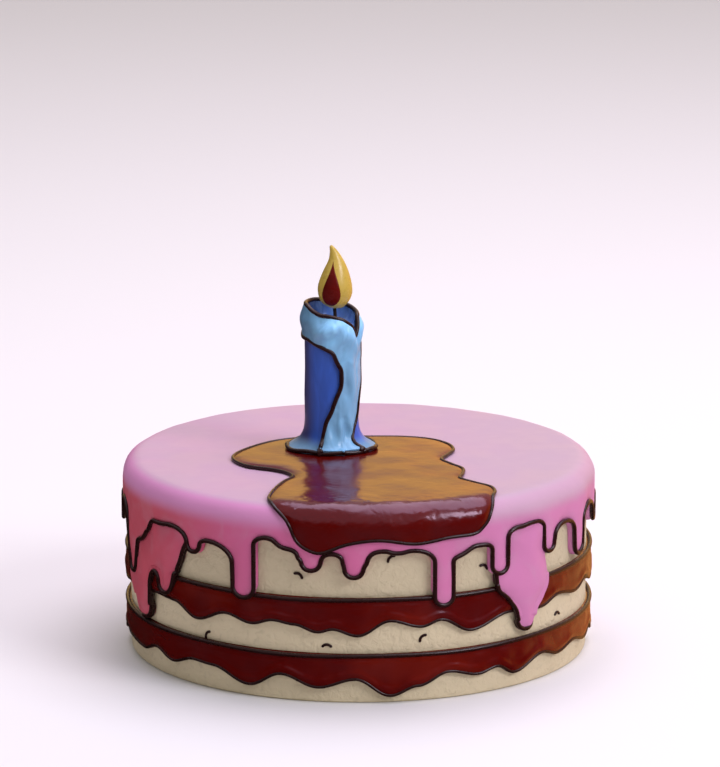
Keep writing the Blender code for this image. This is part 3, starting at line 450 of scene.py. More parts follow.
def add_bead(shell, place, spots, radius, sides=12, closed=False):
    """A round bead carried along a path on a surface. place(spots, lift) gives points of the surface
    raised by a lift; the bead's circle stands in the plane of the surface's normal and the way across,
    and at an open end its radius runs out in a quarter circle."""
    if closed:
        size = np.full(len(spots), radius)
    else:
        middle = place(spots, 0.0)
        along = np.concatenate([[0], np.cumsum(np.linalg.norm(np.diff(middle, axis=0), axis=1))])
        near = np.array([0, 0.04, 0.15, 0.35, 0.6, 0.85]) * radius
        inner = np.linspace(radius, along[-1] - radius, max(3, len(spots)))
        places = np.concatenate([near, inner, along[-1] - near[::-1]])
        spots = np.stack([np.interp(places, along, spots[:, i]) for i in range(spots.shape[1])], 1)
        end = np.clip(np.minimum(places, along[-1] - places) / radius, 0, 1)
        size = radius * np.sqrt(1 - (1 - end) ** 2)
    middle = place(spots, 0.0)
    out = place(spots, 0.05 * MM) - place(spots, -0.05 * MM)
    ahead = np.roll(middle, -1, 0) - np.roll(middle, 1, 0) if closed else np.gradient(middle, axis=0)
    across = np.cross(ahead, out)
    across /= np.linalg.norm(across, axis=1)[:, None]
    out = np.cross(across, ahead)
    out /= np.linalg.norm(out, axis=1)[:, None]
    turn = np.arange(sides) / sides * 2 * math.pi
    ring = np.cos(turn)[None, :, None] * out[:, None] + np.sin(turn)[None, :, None] * across[:, None]
    rows = middle[:, None] + size[:, None, None] * ring
    if closed:
        rows = np.concatenate([rows, rows[:1]])
    shell.sheet(rows, around=True)


def stand_in(piece, slot, *nodes):
    """Says where a piece rides and the solids that it stands for; its slot is not used."""
    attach(piece, "root")
    if nodes:
        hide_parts(*nodes)


def piped(lines, name, colours):
    """Makes a piece of piped lines."""
    stand_in(lines.piece(name, shared("piped_line", outline_finish, colours)), "outline")


class Tree:
    """The nodes of a material or of the surroundings."""

    def __init__(self, owner):
        owner.use_nodes = True
        self.nodes, self.links = owner.node_tree.nodes, owner.node_tree.links

    def between(self, value, low, high, to_low=0.0, to_high=1.0):
        """A value remapped from one range to another, and held within it."""
        node = self.nodes.new("ShaderNodeMapRange")
        node.interpolation_type = "SMOOTHSTEP"
        for key, number in zip(("From Min", "From Max", "To Min", "To Max"), (low, high, to_low, to_high)):
            node.inputs[key].default_value = number
        self.links.new(value, node.inputs["Value"])
        return node.outputs["Result"]

    def mixed(self, factor, low, high):
        """A colour between two, each a tuple or a socket."""
        node = self.nodes.new("ShaderNodeMix")
        node.data_type = "RGBA"
        self.links.new(factor, node.inputs["Factor"])
        sockets = [s for s in node.inputs if s.type == "RGBA"]
        for socket, colour in zip(sockets, (low, high)):
            if isinstance(colour, bpy.types.NodeSocket):
                self.links.new(colour, socket)
            else:
                socket.default_value = (*colour, 1.0)
        return [s for s in node.outputs if s.type == "RGBA"][0]


class Finish(Tree):
    """A procedural material on Object coordinates: sockets set on the shader, and textures added to it."""

    def __init__(self, name, roughness, specular=0.5):
        self.material = bpy.data.materials.new(name)
        super().__init__(self.material)
        self.shader = self.nodes["Principled BSDF"]
        self.shader.inputs["Roughness"].default_value = roughness
        self.shader.inputs["Specular IOR Level"].default_value = specular
        self.where = self.nodes.new("ShaderNodeTexCoord").outputs["Object"]
        self.bump = None

    def mapped(self, stretch, turn=(0, 0, 0)):
        """Coordinates turned by degrees and then drawn out, so that features are that much longer."""
        mapping = self.nodes.new("ShaderNodeMapping")
        mapping.vector_type = "TEXTURE"
        mapping.inputs["Rotation"].default_value = [math.radians(a) for a in turn]
        mapping.inputs["Scale"].default_value = stretch
        self.links.new(self.where, mapping.inputs["Vector"])
        return mapping.outputs["Vector"]

    def noise(self, size, detail, distortion=0.0, vector=None):
        """A noise whose features are about a size across, in metres."""
        node = self.nodes.new("ShaderNodeTexNoise")
        node.inputs["Scale"].default_value = 1.0 / size
        node.inputs["Detail"].default_value = detail
        node.inputs["Distortion"].default_value = distortion
        self.links.new(vector or self.where, node.inputs["Vector"])
        return node.outputs["Fac"]

    def axis(self, letter):
        """Where a point lies along X, Y or Z, in metres."""
        node = self.nodes.new("ShaderNodeSeparateXYZ")
        self.links.new(self.where, node.inputs["Vector"])
        return node.outputs[letter]

    def colour(self, socket):
        self.links.new(socket, self.shader.inputs["Base Color"])

    def rough(self, size, detail, least, most, low=0.35, high=0.65):
        """Roughness that varies with a noise."""
        value = self.between(self.noise(size, detail), low, high, least, most)
        self.links.new(value, self.shader.inputs["Roughness"])

    def raised(self, height, strength, distance):
        """Adds a bump of a height texture to those already there."""
        node = self.nodes.new("ShaderNodeBump")
        node.inputs["Strength"].default_value = strength
        node.inputs["Distance"].default_value = distance
        self.links.new(height, node.inputs["Height"])
        if self.bump:
            self.links.new(self.bump, node.inputs["Normal"])
        self.bump = node.outputs["Normal"]
        self.links.new(self.bump, self.shader.inputs["Normal"])


def shaded(colour, factor):
    """A colour made lighter or darker."""
    return tuple(float(min(c * factor, 1.0)) for c in colour)


def cream_finish(colours):
    """Matt cream with fine leathery unevenness, faintly patched, with painted shade in its creases, painted
    light low down and painted shade higher up, under the icing.
    """
    made = Finish("cream_coat", 0.85, 0.3)
    base = tuple(colours.cream)
    # Painted light and shade: the cream is made lighter low down and darker higher up, under the icing.
    level = made.mixed(made.between(made.axis("Z"), 30 * MM, 58 * MM), shaded(base, 1.1), shaded(base, 0.93))
    patches_and_painted_shade = made.mixed(made.between(made.noise(0.03, 3), 0.35, 0.7, 0.0, 0.5), level, shaded(base, 1.06))
    crease = made.noise(0.0030, 3.0, 0.6)
    # Painted shade in the creases: the colour is a little darker where the crease bump sinks.
    made.colour(made.mixed(made.between(crease, 0.25, 0.45), shaded(base, 0.96), patches_and_painted_shade))
    made.raised(crease, 0.85, 0.0011)
    made.raised(made.noise(0.009, 2, 0.8), 0.25, 0.0012)
    return made.material


def chocolate_finish(name, colours, strokes):
    """Glossy dark red-brown, warmer in places, with soft unevenness. The puddle has long strokes too, and
    is more uneven down its front."""
    made = Finish(name, 0.22, 0.5)
    sheen, level = (1.0, 0.82, 1.0, 1.0), (0.5, 0.5, 0.5)
    made.shader.inputs["Specular Tint"].default_value = sheen
    warm = made.between(made.noise(0.035, 3), 0.45, 0.75)
    made.colour(made.mixed(warm, tuple(colours.chocolate), tuple(colours.chocolate_warm)))
    made.rough(0.02, 4, 0.16, 0.27)
    made.raised(made.noise(0.011, 2, 0.4), 0.22 if strokes else 0.5, 0.0016)
    if strokes:
        stroke = made.mapped((2.6, 1.0, 1.0), (0, 0, -20))
        made.raised(made.noise(0.0045, 3, 0.8, stroke), 0.15, 0.0005)
        front = made.between(made.axis("Y"), -78 * MM, -90 * MM)
        made.raised(made.mixed(front, level, made.noise(0.0075, 2, 0.4)), 0.45, 0.0013)
    return made.material


def outline_finish(colours):
    """Glossy piped line, almost black, a touch redder in places."""
    made = Finish("piped_line", 0.28, 0.38)
    base = tuple(colours.outline)
    made.colour(made.mixed(made.noise(0.01, 2), base, shaded(base, 1.7)))
    made.rough(0.004, 2, 0.24, 0.36, 0.3, 0.7)
    made.raised(made.noise(0.003, 2), 0.15, 0.0004)
    return made.material


def icing_finish(colours):
    """Satin pink with faint brushed marks, and painted light: rosier and darker at the left, away from the
    key light, a painted lilac sheen at the right, a painted highlight on the shoulder and a paler top,
    painted as if lit strongly."""
    made = Finish("pink_coat", 0.42, 0.25)
    height, across = made.axis("Z"), made.axis("X")
    side, top = tuple(colours.icing), tuple(colours.icing_pale)
    # Painted light across the side: the rosy tone darkens the left, away from the key light, and the lilac
    # tone is a painted sheen at the right, where it falls.
    rosy = tuple(np.multiply(side, (0.93, 0.6, 0.4)))
    lilac = tuple(np.multiply(side, (0.94, 1.5, 1.32)))
    # Colours of the painted shoulder highlight.
    pink_highlight, pale_highlight = (0.65, 0.27, 0.49), (0.52, 0.33, 0.43)
    left = made.mixed(made.between(across, -95 * MM, -35 * MM), rosy, side)
    wall = made.mixed(made.between(across, -20 * MM, 75 * MM), left, lilac)
    blotch = made.between(made.noise(0.012, 4, 0.5), 0.4, 0.75)
    wall = made.mixed(made.between(blotch, 0.0, 1.0, 0.0, 0.14), wall, top)
    # Painted highlight on the rounded shoulder, pinker at the left and paler at the right.
    shoulder_highlight = made.mixed(made.between(across, 0.0, 80 * MM), pink_highlight, pale_highlight)
    shoulder = made.mixed(made.between(height, 72.5 * MM, 79.5 * MM), wall, shoulder_highlight)
    # Painted light on the top: it is paler, as if whitened by strong light from above.
    made.colour(made.mixed(made.between(height, 82.6 * MM, 84.9 * MM), shoulder, top))
    made.rough(0.015, 3, 0.46, 0.58)
    made.raised(made.noise(0.005, 3, 0.4, made.mapped((3.2, 1.0, 1.0), (0, 0, 8))), 0.3, 0.0005)
    made.raised(made.noise(0.016, 2), 0.16, 0.0012)
    return made.material


def wax_finish(name, colour, light, roughness):
    """Satin wax with long soft streaks down the candle, with painted shade at its left and painted light up
    at the rim.
    """
    made = Finish(name, roughness, 0.5)
    streak = made.noise(0.004, 3, 0.5, made.mapped(STREAK))
    share = made.between(streak, 0.4, 0.75)
    # Painted light up at the rim: lighter copies of both wax colours.
    rim = made.mixed(share, shaded(colour, 1.35), shaded(light, 1.3))
    up, right = made.axis("Z"), made.axis("X")
    lit = made.mixed(made.between(up, 131 * MM, 142 * MM), made.mixed(share, colour, light), rim)
    # Painted shade at the left: the colour darkens towards the candle's left edge.
    made.colour(made.mixed(made.between(right, -24.5 * MM, -12.5 * MM), shaded(colour, 0.55), lit))
    made.rough(0.006, 3, roughness - 0.06, roughness + 0.08)
    made.raised(streak, 0.25, 0.0006)
    made.raised(made.noise(0.0065, 1, 1.0, made.mapped((1.0, 1.0, 2.4), (0, 18, 0))), 0.6, 0.0024)
    made.raised(made.noise(0.0022, 2), 0.1, 0.0004)
    return made.material


def candle_finish(blue, pale):
    """Satin blue wax with painted shade at its left edge, and thinner and paler where the foot spreads."""
    made = Finish("candle_wax", 0.4, 0.5)
    shadow = (0.05, 0.055, 0.17)
    streak = made.noise(0.004, 3, 0.5, made.mapped(STREAK))
    side = made.mixed(made.between(streak, 0.4, 0.75), blue, shaded(blue, 1.25))
    # Painted shade at the left edge: the side darkens towards a shadow blue.
    side = made.mixed(made.between(made.axis("X"), -23.2 * MM, -18.5 * MM), shadow, side)
    made.colour(made.mixed(made.between(made.axis("Z"), 88.2 * MM, 93.5 * MM), shaded(pale, 0.62), side))
    made.rough(0.006, 3, 0.34, 0.48)
    made.raised(streak, 0.2, 0.0006)
    return made.material


def flame_finish(name, colour, light, specular):
    """Satin moulded sugar, a little lighter in places."""
    made = Finish(name, 0.3, specular)
    made.colour(made.mixed(made.between(made.noise(0.008, 2), 0.35, 0.7), colour, light))
    made.rough(0.003, 2, 0.24, 0.34, 0.3, 0.7)
    made.raised(made.noise(0.005, 2), 0.12, 0.0005)
    return made.material


def shared(name, maker, *values):
    """A material made once and used by every piece that has its finish."""
    return bpy.data.materials.get(name) or maker(*values)


class CAKE_OT_cream(bpy.types.Operator):
    """Makes the three cream layers and the crumb marks drawn on them"""

    bl_idname = "cake.cream"
    bl_label = "Cream layers"

    def execute(self, context):
        sizes, colours = context.scene.cake_sizes, context.scene.cake_colours
        slabs = [FILLING_TOPS[name] + SLAB_RISE for name in ("filling_lower", "filling_upper")]
        bottoms = [0.0, *(slab + GAP for slab in slabs)]
        tops = [*(slab - SLAB_DEPTH - GAP for slab in slabs), sizes.sponge_top]
        rounds = ((BASE_ROUND, CUT_ROUND), (CUT_ROUND, CUT_ROUND), (CUT_ROUND, TOP_ROUND))
        finish = shared("cream_coat", cream_finish, colours)
        for i, place in enumerate(("bottom", "middle", "top")):
            shell = self.layer(sizes.cake_radius, bottoms[i], tops[i], *rounds[i])
            stand_in(shell.piece(f"cream_{place}", finish), "sponge", f"sponge_{place}")
        self.crumbs(sizes, colours)
        return {"FINISHED"}

    def layer(self, radius, bottom, top, low_round, high_round):
        """A turned slab: radius against height goes out along the base, round the lower edge by a quarter
        circle, up the slightly uneven side, round the upper edge and back in."""
        arc = [(math.sin(a), math.cos(a)) for a in np.linspace(0, math.pi / 2, 7)]
        low = [(radius - low_round + low_round * s, bottom + low_round - low_round * c) for s, c in arc]
        high = [(radius - high_round + high_round * c, top - high_round + high_round * s) for s, c in arc]
        side = [(radius, z) for z in np.linspace(bottom + low_round, top - high_round, 20)[1:-1]]
        flat = np.linspace(0, 0.98, 6)
        ends = [[((radius - r) * f, z) for f in way] for r, z, way in
                ((low_round, bottom, flat), (high_round, top, flat[::-1]))]
        profile = np.array(ends[0] + low + side + high + ends[1])
        angle = np.linspace(0, 2 * math.pi, 361)[:-1]
        r, z = profile[:, 0][:, None], profile[:, 1][:, None] * np.ones_like(angle)
        uneven = ripple(round_axis(angle, r, z).reshape(-1, 3), 28 * MM, seed=3).reshape(z.shape)
        on_side = (profile[:, 0] > radius - 0.05 * MM)[:, None]
        r = r + np.where(on_side, 0.12 * MM * (uneven - 1.0), 0)
        shell = Shell()
        shell.sheet(round_axis(angle, r, z), around=True)
        return shell

    def crumbs(self, sizes, colours):
        """Short arcs on the side, at the front and, mirrored and turned half round, at the back."""
        shell = Shell()
        for half_round, mirror in ((0, 1), (180, -1)):
            for degrees, height, turn in CRUMB_MARKS:
                swing = np.radians(np.linspace(25, 155, 15) + mirror * turn)
                around = math.radians(degrees + half_round) + CRUMB_BEND * np.cos(swing) / sizes.cake_radius
                spots = np.stack([around, height * MM + CRUMB_BEND * np.sin(swing) - 0.6 * CRUMB_BEND], 1)
                add_bead(shell, on_cylinder(sizes.cake_radius), spots, sizes.crumb_bead, sides=10)
        piped(shell, "crumb_marks", colours)


def band_edges(name):
    """Angles once round with each band's lower and upper edge: an S-curve from each dip to each crest,
    the front's pattern turned half round for the back, and a faintly wavy top."""
    front = [(math.radians(a), z * MM) for a, z in BAND_WAVES[name]]
    turned = front + [(a + math.pi, z) for a, z in front]
    turned.append((front[0][0] + 2 * math.pi, front[0][1]))
    table = np.array(turned)
    angle = np.linspace(table[0, 0], table[-1, 0], 901)[:-1]
    at = np.clip(np.searchsorted(table[:, 0], angle, "right") - 1, 0, len(table) - 2)
    share = (angle - table[at, 0]) / (table[at + 1, 0] - table[at, 0])
    low = table[at, 1] + (table[at + 1, 1] - table[at, 1]) * (1 - np.cos(math.pi * share)) / 2
    high = FILLING_TOPS[name] - 0.3 * MM + 0.45 * MM * np.sin(5 * angle) * np.cos(3 * angle + 1)
    return angle, low, high


class CAKE_OT_bands(bpy.types.Operator):
    """Makes the two chocolate bands, which run through the cake, and their piped outlines"""

    bl_idname = "cake.bands"
    bl_label = "Chocolate bands"

    def execute(self, context):
        sizes, colours = context.scene.cake_sizes, context.scene.cake_colours
        finish = shared("band_glaze", chocolate_finish, "band_glaze", colours, False)
        outlines = Shell()
        on_band = on_cylinder(sizes.band_radius - 0.35 * MM)
        for name, node, seed in (("band_lower", "filling_lower", 8), ("band_upper", "filling_upper", 5)):
            angle, low, high = band_edges(node)
            shell = self.band(FILLING_TOPS[node] + SLAB_RISE, angle, low, high, sizes, seed)
            stand_in(shell.piece(name, finish), "chocolate", node)
            for edge, size in ((high + 0.2 * MM, sizes.band_bead), (low, 0.8 * sizes.band_bead)):
                add_bead(outlines, on_band, np.stack([angle, edge], 1), size, closed=True)
        piped(outlines, "band_outlines", colours)
        return {"FINISHED"}

    def band(self, slab_top, angle, low, high, sizes, seed):
        """A profile carried once round between the band's wavy edges: out along the slab's top, over the
        upper edge, down a soft face that swells above the lower edge, under it and back in."""
        back, face = sizes.cake_radius + 0.02 * MM, sizes.band_radius
        slab_bottom = slab_top - SLAB_DEPTH
        share = np.linspace(0, 1, 22)[:, None]
        tall = (high - 0.9 * MM) - (low + 0.9 * MM)
        z = high - 0.9 * MM - tall * share
        over, under = (z - low) / MM, (high - z) / MM
        swell = 0.55 * np.exp(-(((over - 2.6) / 1.5) ** 2)) - 0.35 * np.exp(-((under - 1.2) / 1.1) ** 2)
        uneven = ripple(round_axis(angle, face, z).reshape(-1, 3), 13 * MM, seed=seed).reshape(z.shape)
        r = face + swell * MM + 0.2 * MM * uneven * np.sin(math.pi * share)
        rows = [(0, slab_top), (0.7 * back, slab_top), (back, slab_top),
                (back + 0.9 * MM, high + 0.1 * MM), (face - 0.5 * MM, high - 0.4 * MM), *zip(r, z),
                (face - 0.3 * MM, low), (face - 0.9 * MM, low - 0.6 * MM), (back, low - 0.75 * MM),
                (back, slab_bottom), (0.7 * back, slab_bottom), (0, slab_bottom)]
        shell = Shell()
        shell.sheet([round_axis(angle, r, z) for r, z in rows], around=True)
        return shell


def hem_stations(rows, radius):
    """Turning points of a hem from its runs, crests and ledges, as lengths along it in metres."""
    to_length = math.radians(1) * radius
    stations = []
    for i, row in enumerate(rows):
        x, y = row[1] * to_length, row[2] * MM
        if row[0] != "run":
            stations.append((x, y, row[3] if len(row) > 3 else 0))
            continue
        half = row[3] * MM / 2
        low = y + TIP_ROUND * half
        for side, lean in ((-1, row[4] * MM), (1, row[5] * MM)):
            near = rows[i + side]
            reach = abs(near[1] * to_length - (x + side * half)) - lean
            rise = near[2] * MM - low
            high = near[2] * MM - min(CREST_ROUND * reach, CREST_MOST * rise)
            heading = side * (90 - math.degrees(math.atan2(lean, max(high - low, 6 * MM))))
            flank = [(x + side * half, low, heading)]
            if high - low > 1.5 * MM:
                flank.append((x + side * (half + lean), high, heading))
            stations += flank[::-1] if side < 0 else flank
            if side < 0:
                stations.append((x, y, 0))
    return stations


def whole_hem():
    """The hem once round: the front, a side run, the front's pattern turned half round with other run
    lengths, and the other side run."""
    rng = np.random.default_rng(7)
    back = []
    for row in FRONT_HEM:
        change = rng.uniform(*RUN_CHANGE) if row[0] == "run" else 0.0
        back.append((row[0], row[1] + 180, max(row[2] + change, LOWEST_TIP), *row[3:]))
    end = [(kind, a + 180, *rest) for kind, a, *rest in SIDE_RUN]
    return [*FRONT_HEM, *SIDE_RUN, *back, *end, ("crest", FRONT_HEM[0][1] + 360, FRONT_HEM[0][2])]


class CAKE_OT_icing(bpy.types.Operator):
    """Makes the pink icing with its runs and under coat, and the piped outline along every hem"""

    bl_idname = "cake.icing"
    bl_label = "Pink icing"

    def execute(self, context):
        self.sizes, colours = context.scene.cake_sizes, context.scene.cake_colours
        shell, lines = Shell(), Shell()
        hem = smooth_line(hem_stations(whole_hem(), self.sizes.icing_radius), HEM_STEP)
        self.upper_coat(shell, lines, hem)
        to_length = math.radians(1) * self.sizes.icing_radius
        for half_round in (0, 180):
            for turns, turned_away in ((UNDER_LEFT, -1), (UNDER_RIGHT, 1)):
                stations = [((a + half_round) * to_length, z * MM, h) for a, z, h in turns]
                self.under_run(shell, lines, smooth_line(stations, HEM_STEP), hem, turned_away)
        coat = shell.piece("icing_coat", shared("pink_coat", icing_finish, colours), sharp=75)
        stand_in(coat, "pink_icing", "pink_icing")
        piped(lines, "icing_outlines", colours)
        return {"FINISHED"}

    def on_icing(self, flat, depth):
        """Points of the unrolled side (length, height) on the icing, a depth below its face: a cylinder,
        and past its top the height carries on round the shoulder's quarter circle."""
        sizes = self.sizes
        angle = flat[:, 0] / sizes.icing_radius
        start = sizes.icing_top - sizes.icing_shoulder
        bend = np.clip((flat[:, 1] - start) / sizes.icing_shoulder, 0, math.pi / 2)
        rounding = sizes.icing_shoulder - depth
        r = sizes.icing_radius - sizes.icing_shoulder + rounding * np.cos(bend)
        return round_axis(angle, r, np.minimum(flat[:, 1], start) + rounding * np.sin(bend))

    def dents(self, flat):
        """Soft hollows and swellings of the icing's face, none of them near the very top."""
        at = self.on_icing(flat, 0.0)
        calm = 1 - 0.65 * np.clip((flat[:, 1] - 76 * MM) / (6 * MM), 0, 1)
        return calm * (0.24 * MM * ripple(at, 30 * MM, seed=12) + 0.14 * MM * ripple(at, 13 * MM, seed=21))

    def back_depth(self, heights):
        """Depth of the icing's back: down to the cream, and less where it hangs over the upper band."""
        over_band = self.sizes.icing_radius - BAND_CLEAR_RADIUS
        cream = self.sizes.icing_radius - self.sizes.cake_radius - 0.05 * MM
        return np.interp(heights, BAND_CLEARANCE, (cream, over_band, over_band, cream))

    def rounded(self, distance):
        """How far the face sinks towards its edge: a bell curve of the distance from the hem."""
        return 0.75 * MM * np.exp(-((distance / (1.9 * MM)) ** 2))

    def upper_coat(self, shell, lines, hem):
        """The hem's profile carried along the hem line, a panel from there to just under the shoulder, and
        from there rings over the shoulder to the middle of the top."""
        sizes = self.sizes
        foot = shift_inwards(hem, -0.85 * MM)
        deep = self.back_depth(foot[:, 1])
        rows = [self.on_icing(foot, deep)]
        for share, shift in ((0.7, -0.85), (0.4, -0.75), (0.15, -0.35)):
            row = shift_inwards(hem, shift * MM)
            edge_depth = self.rounded(0.0) - self.dents(row)
            rows.append(self.on_icing(row, edge_depth + share * np.maximum(deep - edge_depth, 0)))
        for shift in (0.2, 0.8, 1.4, 1.9):
            row = shift_inwards(hem, shift * MM)
            rows.append(self.on_icing(row, self.rounded(shift * MM) - self.dents(row)))
        inner = row
        shell.sheet(rows)
        columns = 300
        left, right = hem[0, 0], hem[-1, 0]
        across = np.linspace(left, right, columns + 1)
        levels = np.arange(38, 75, 2.1) * MM
        for loop_row, face in ((inner, True), (foot, False)):
            seam_up = [z for z in levels if z > loop_row[0, 1] + 1 * MM]
            right_seam, left_seam = [(right, z) for z in seam_up], [(left, z) for z in seam_up[::-1]]
            top = np.stack([across[::-1], np.full(columns + 1, CAP_START)], 1)
            loop = np.concatenate([loop_row, right_seam, top, left_seam])
            step = 1 if face else 3
            flat, triangles = filled(loop, grid(across[1:-1:step], levels[::step]), 1.3 * MM * step)
            if face:
                depth = self.rounded(nearest(flat, hem)) - self.dents(flat)
                depth = np.where(flat[:, 1] > CAP_START - 0.01 * MM, -self.dents(flat), depth)
            else:
                depth = self.back_depth(flat[:, 1])
            shell.add(self.on_icing(flat, depth), triangles)
        start = sizes.icing_top - sizes.icing_shoulder
        over = start + sizes.icing_shoulder * np.linspace(0, math.pi / 2, 10)
        ring_flat = [np.stack([across[:-1], np.full(columns, z)], 1) for z in [CAP_START, *over]]
        face_rows = [self.on_icing(flat, -self.dents(flat)) for flat in ring_flat]
        back_rows = [self.on_icing(flat, self.back_depth(CAP_START)) for flat in ring_flat]
        for rows, face in ((face_rows, True), (back_rows, False)):
            rim = rows[-1]
            rings = []
            for s in np.linspace(1, 0, 34)[1:]:
                at = rim * (s, s, 0)
                at[:, 2] = rim[:, 2].mean() + (rim[:, 2] - rim[:, 2].mean()) * s**4
                if face:
                    at[:, 2] += (1 - s**4) * (0.1 * MM * ripple(at, 34 * MM, seed=12) - 0.05 * MM) * (s > 0)
                rings.append(at)
            shell.sheet(rows + rings, around=True)

        def on_edge(spots, lift):
            return self.on_icing(spots, 0.35 * MM - lift)

        add_bead(lines, on_edge, hem[:-1], sizes.icing_bead, closed=True)

    def under_run(self, shell, lines, edge, hem, turned_away):
        """A tongue of the under coat: a rounded profile carried along its edge, a panel within and a back,
        and two piped lines along the edge, one at its face and one at its flank, which run down into the
        tongue beside the flank that is turned away."""
        across = np.linspace(edge[-1], edge[0], max(4, round((edge[-1, 0] - edge[0, 0]) / (1.5 * MM))))[1:-1]
        loop = np.concatenate([edge, across])
        foot = shift_inwards(loop, -0.8 * MM, True)
        deep = self.back_depth(foot[:, 1])
        upper = np.concatenate([hem, [(hem[-1, 0], 90 * MM), (hem[0, 0], 90 * MM)]])

        def face(flat, distance):
            """The face's depth: tucked under the upper coat, and swelling away from its own edge and from
            the hem above, each by one less a bell curve of the distance."""
            away = np.where(inside(flat, upper), 0.0, nearest(flat, hem))
            swell = 1 - np.exp(-((distance / (3.6 * MM)) ** 1.5))
            swell = swell * (1 - np.exp(-((away / (5.5 * MM)) ** 1.6)))
            return 0.95 * MM - 1.75 * MM * swell - self.dents(flat)

        rows = [self.on_icing(foot, deep)]
        for share, shift in ((0.65, -0.85), (0.35, -0.7), (0.12, -0.35)):
            row = shift_inwards(loop, shift * MM, True)
            edge_depth = face(row, np.zeros(len(row)))
            rows.append(self.on_icing(row, edge_depth + share * np.maximum(deep - edge_depth, 0)))
        for shift in (0.0, 0.5, 1.1, 1.8):
            row = shift_inwards(loop, shift * MM, True)
            rows.append(self.on_icing(row, face(row, nearest(row, edge))))
        shell.sheet([np.concatenate([r, r[:1]]) for r in rows])
        lattice = grid(np.arange(row[:, 0].min(), row[:, 0].max(), 1.3 * MM), np.arange(24, 75, 1.3) * MM)
        flat, triangles = filled(row, lattice, 0.9 * MM)
        shell.add(self.on_icing(flat, face(flat, nearest(flat, edge))), triangles)
        flat, triangles = filled(foot, lattice, 0.9 * MM)
        shell.add(self.on_icing(flat, self.back_depth(flat[:, 1])), triangles)
        past = np.clip((turned_away * (np.arange(len(edge)) - edge[:, 1].argmin()) - 1) / 6, 0, 1)
        path = edge + (shift_inwards(edge, -0.9 * MM) - edge) * (0.35 + 0.65 * past[:, None])

        def line_at(edge_depth, covered, lowest):
            """The place of a piped line: at a depth, deeper by some where the upper coat covers it, and at
            its lowest beside the flank that is turned away."""

            def place(spots, lift):
                flat, low = spots[:, :2], spots[:, 2]
                cover = np.where(inside(flat, upper), np.clip(nearest(flat, hem) / (2.5 * MM), 0, 1), 0)
                depth = edge_depth(flat, face(flat, np.zeros(len(flat)))) + covered * cover
                return self.on_icing(flat, depth * (1 - low) + lowest * low - lift)

            return place

        on_edge = line_at(lambda flat, depth: depth + 0.1 * MM, 1.75 * MM, 3.0 * MM)
        on_flank = line_at(
            lambda flat, depth: np.minimum(depth + 1.3 * MM, self.back_depth(flat[:, 1]) - 0.2 * MM),
            1.0 * MM, 3.5 * MM)
        for place in (on_edge, on_flank):
            add_bead(lines, place, np.column_stack([path, past]), self.sizes.icing_bead * 0.97)


class CAKE_OT_puddle(bpy.types.Operator):
    """Makes the chocolate puddle that spills over the front edge, and its piped outline"""

    bl_idname = "cake.puddle"
    bl_label = "Chocolate puddle"

    def execute(self, context):
        self.sizes, colours = context.scene.cake_sizes, context.scene.cake_colours
        edge = self.outline()
        shell, line = Shell(), Shell()
        rows = []
        for shift, lift in PUDDLE_PROFILE:
            row = shift_inwards(edge, shift * MM, True)
            rows.append(self.over_icing(row, lift * MM))
        shell.sheet([np.concatenate([r, r[:1]]) for r in rows])
        lattice = grid(np.arange(-60, 64, 2.1) * MM, np.arange(-124, 30, 2.1) * MM)
        flat, triangles = filled(row, lattice, 1.3 * MM)
        away = nearest(flat, edge)
        inner_shift, inner_lift = PUDDLE_PROFILE[-1]
        lift = 2.22 * MM - 0.75 * MM * np.exp(-((away / (4.0 * MM)) ** 2))
        settle = np.clip((away - inner_shift * MM) / (5 * MM), 0, 1)
        lift += settle * 0.12 * MM * (ripple(self.over_icing(flat, 0.0), 16 * MM, seed=31) - 1.0)
        lift = np.where(away < inner_shift * MM + 0.05 * MM, inner_lift * MM, lift)
        shell.add(self.over_icing(flat, lift), triangles)
        outer_shift, outer_lift = PUDDLE_PROFILE[0]
        back = shift_inwards(edge, outer_shift * MM, True)
        flat, triangles = filled(back, lattice[::3], 2.5 * MM)
        shell.add(self.over_icing(flat, outer_lift * MM), triangles)
        finish = shared("puddle_glaze", chocolate_finish, "puddle_glaze", colours, True)
        stand_in(shell.piece("puddle", finish), "chocolate", "chocolate_puddle")

        def on_edge(spots, lift):
            return self.over_icing(spots, 0.9 * MM + lift)

        add_bead(line, on_edge, edge, self.sizes.puddle_bead, closed=True)
        piped(line, "puddle_outline", colours)
        return {"FINISHED"}

    def outline(self):
        """The puddle's edge in the unrolled plan: each point lies as far from the middle as the path over
        the top, the shoulder and the side is long."""
        sizes = self.sizes
        side_start = sizes.icing_radius + sizes.icing_shoulder * (math.pi / 2 - 1)
        points = [(x * MM, y * MM) for x, y in PUDDLE_TOP_RIGHT]
        for degrees, height in PUDDLE_SIDE:
            angle = math.radians(degrees)
            reach = side_start + (sizes.icing_top - sizes.icing_shoulder) - height * MM
            points.append((reach * math.sin(angle), -reach * math.cos(angle)))
        points += [(x * MM, y * MM) for x, y in PUDDLE_TOP_LEFT]
        line = closed_spline(points, 14)[::-1]
        return evenly(np.concatenate([line, line[:1]]), HEM_STEP)[:-1]

    def over_icing(self, plan, lift):
        """Points of the unrolled plan, a lift above the icing's face."""
        sizes = self.sizes
        reach = np.linalg.norm(plan, axis=1)
        way = plan / np.maximum(reach, 1e-9)[:, None]
        flat_edge = sizes.icing_radius - sizes.icing_shoulder
        bend = np.clip((reach - flat_edge) / sizes.icing_shoulder, 0, math.pi / 2)
        rounding = sizes.icing_shoulder + lift
        r = np.minimum(reach, flat_edge) + rounding * np.sin(bend)
        below = np.maximum(reach - flat_edge - sizes.icing_shoulder * math.pi / 2, 0)
        z = sizes.icing_top - sizes.icing_shoulder + rounding * np.cos(bend) - below
        return np.stack([r * way[:, 0], r * way[:, 1], z], 1)


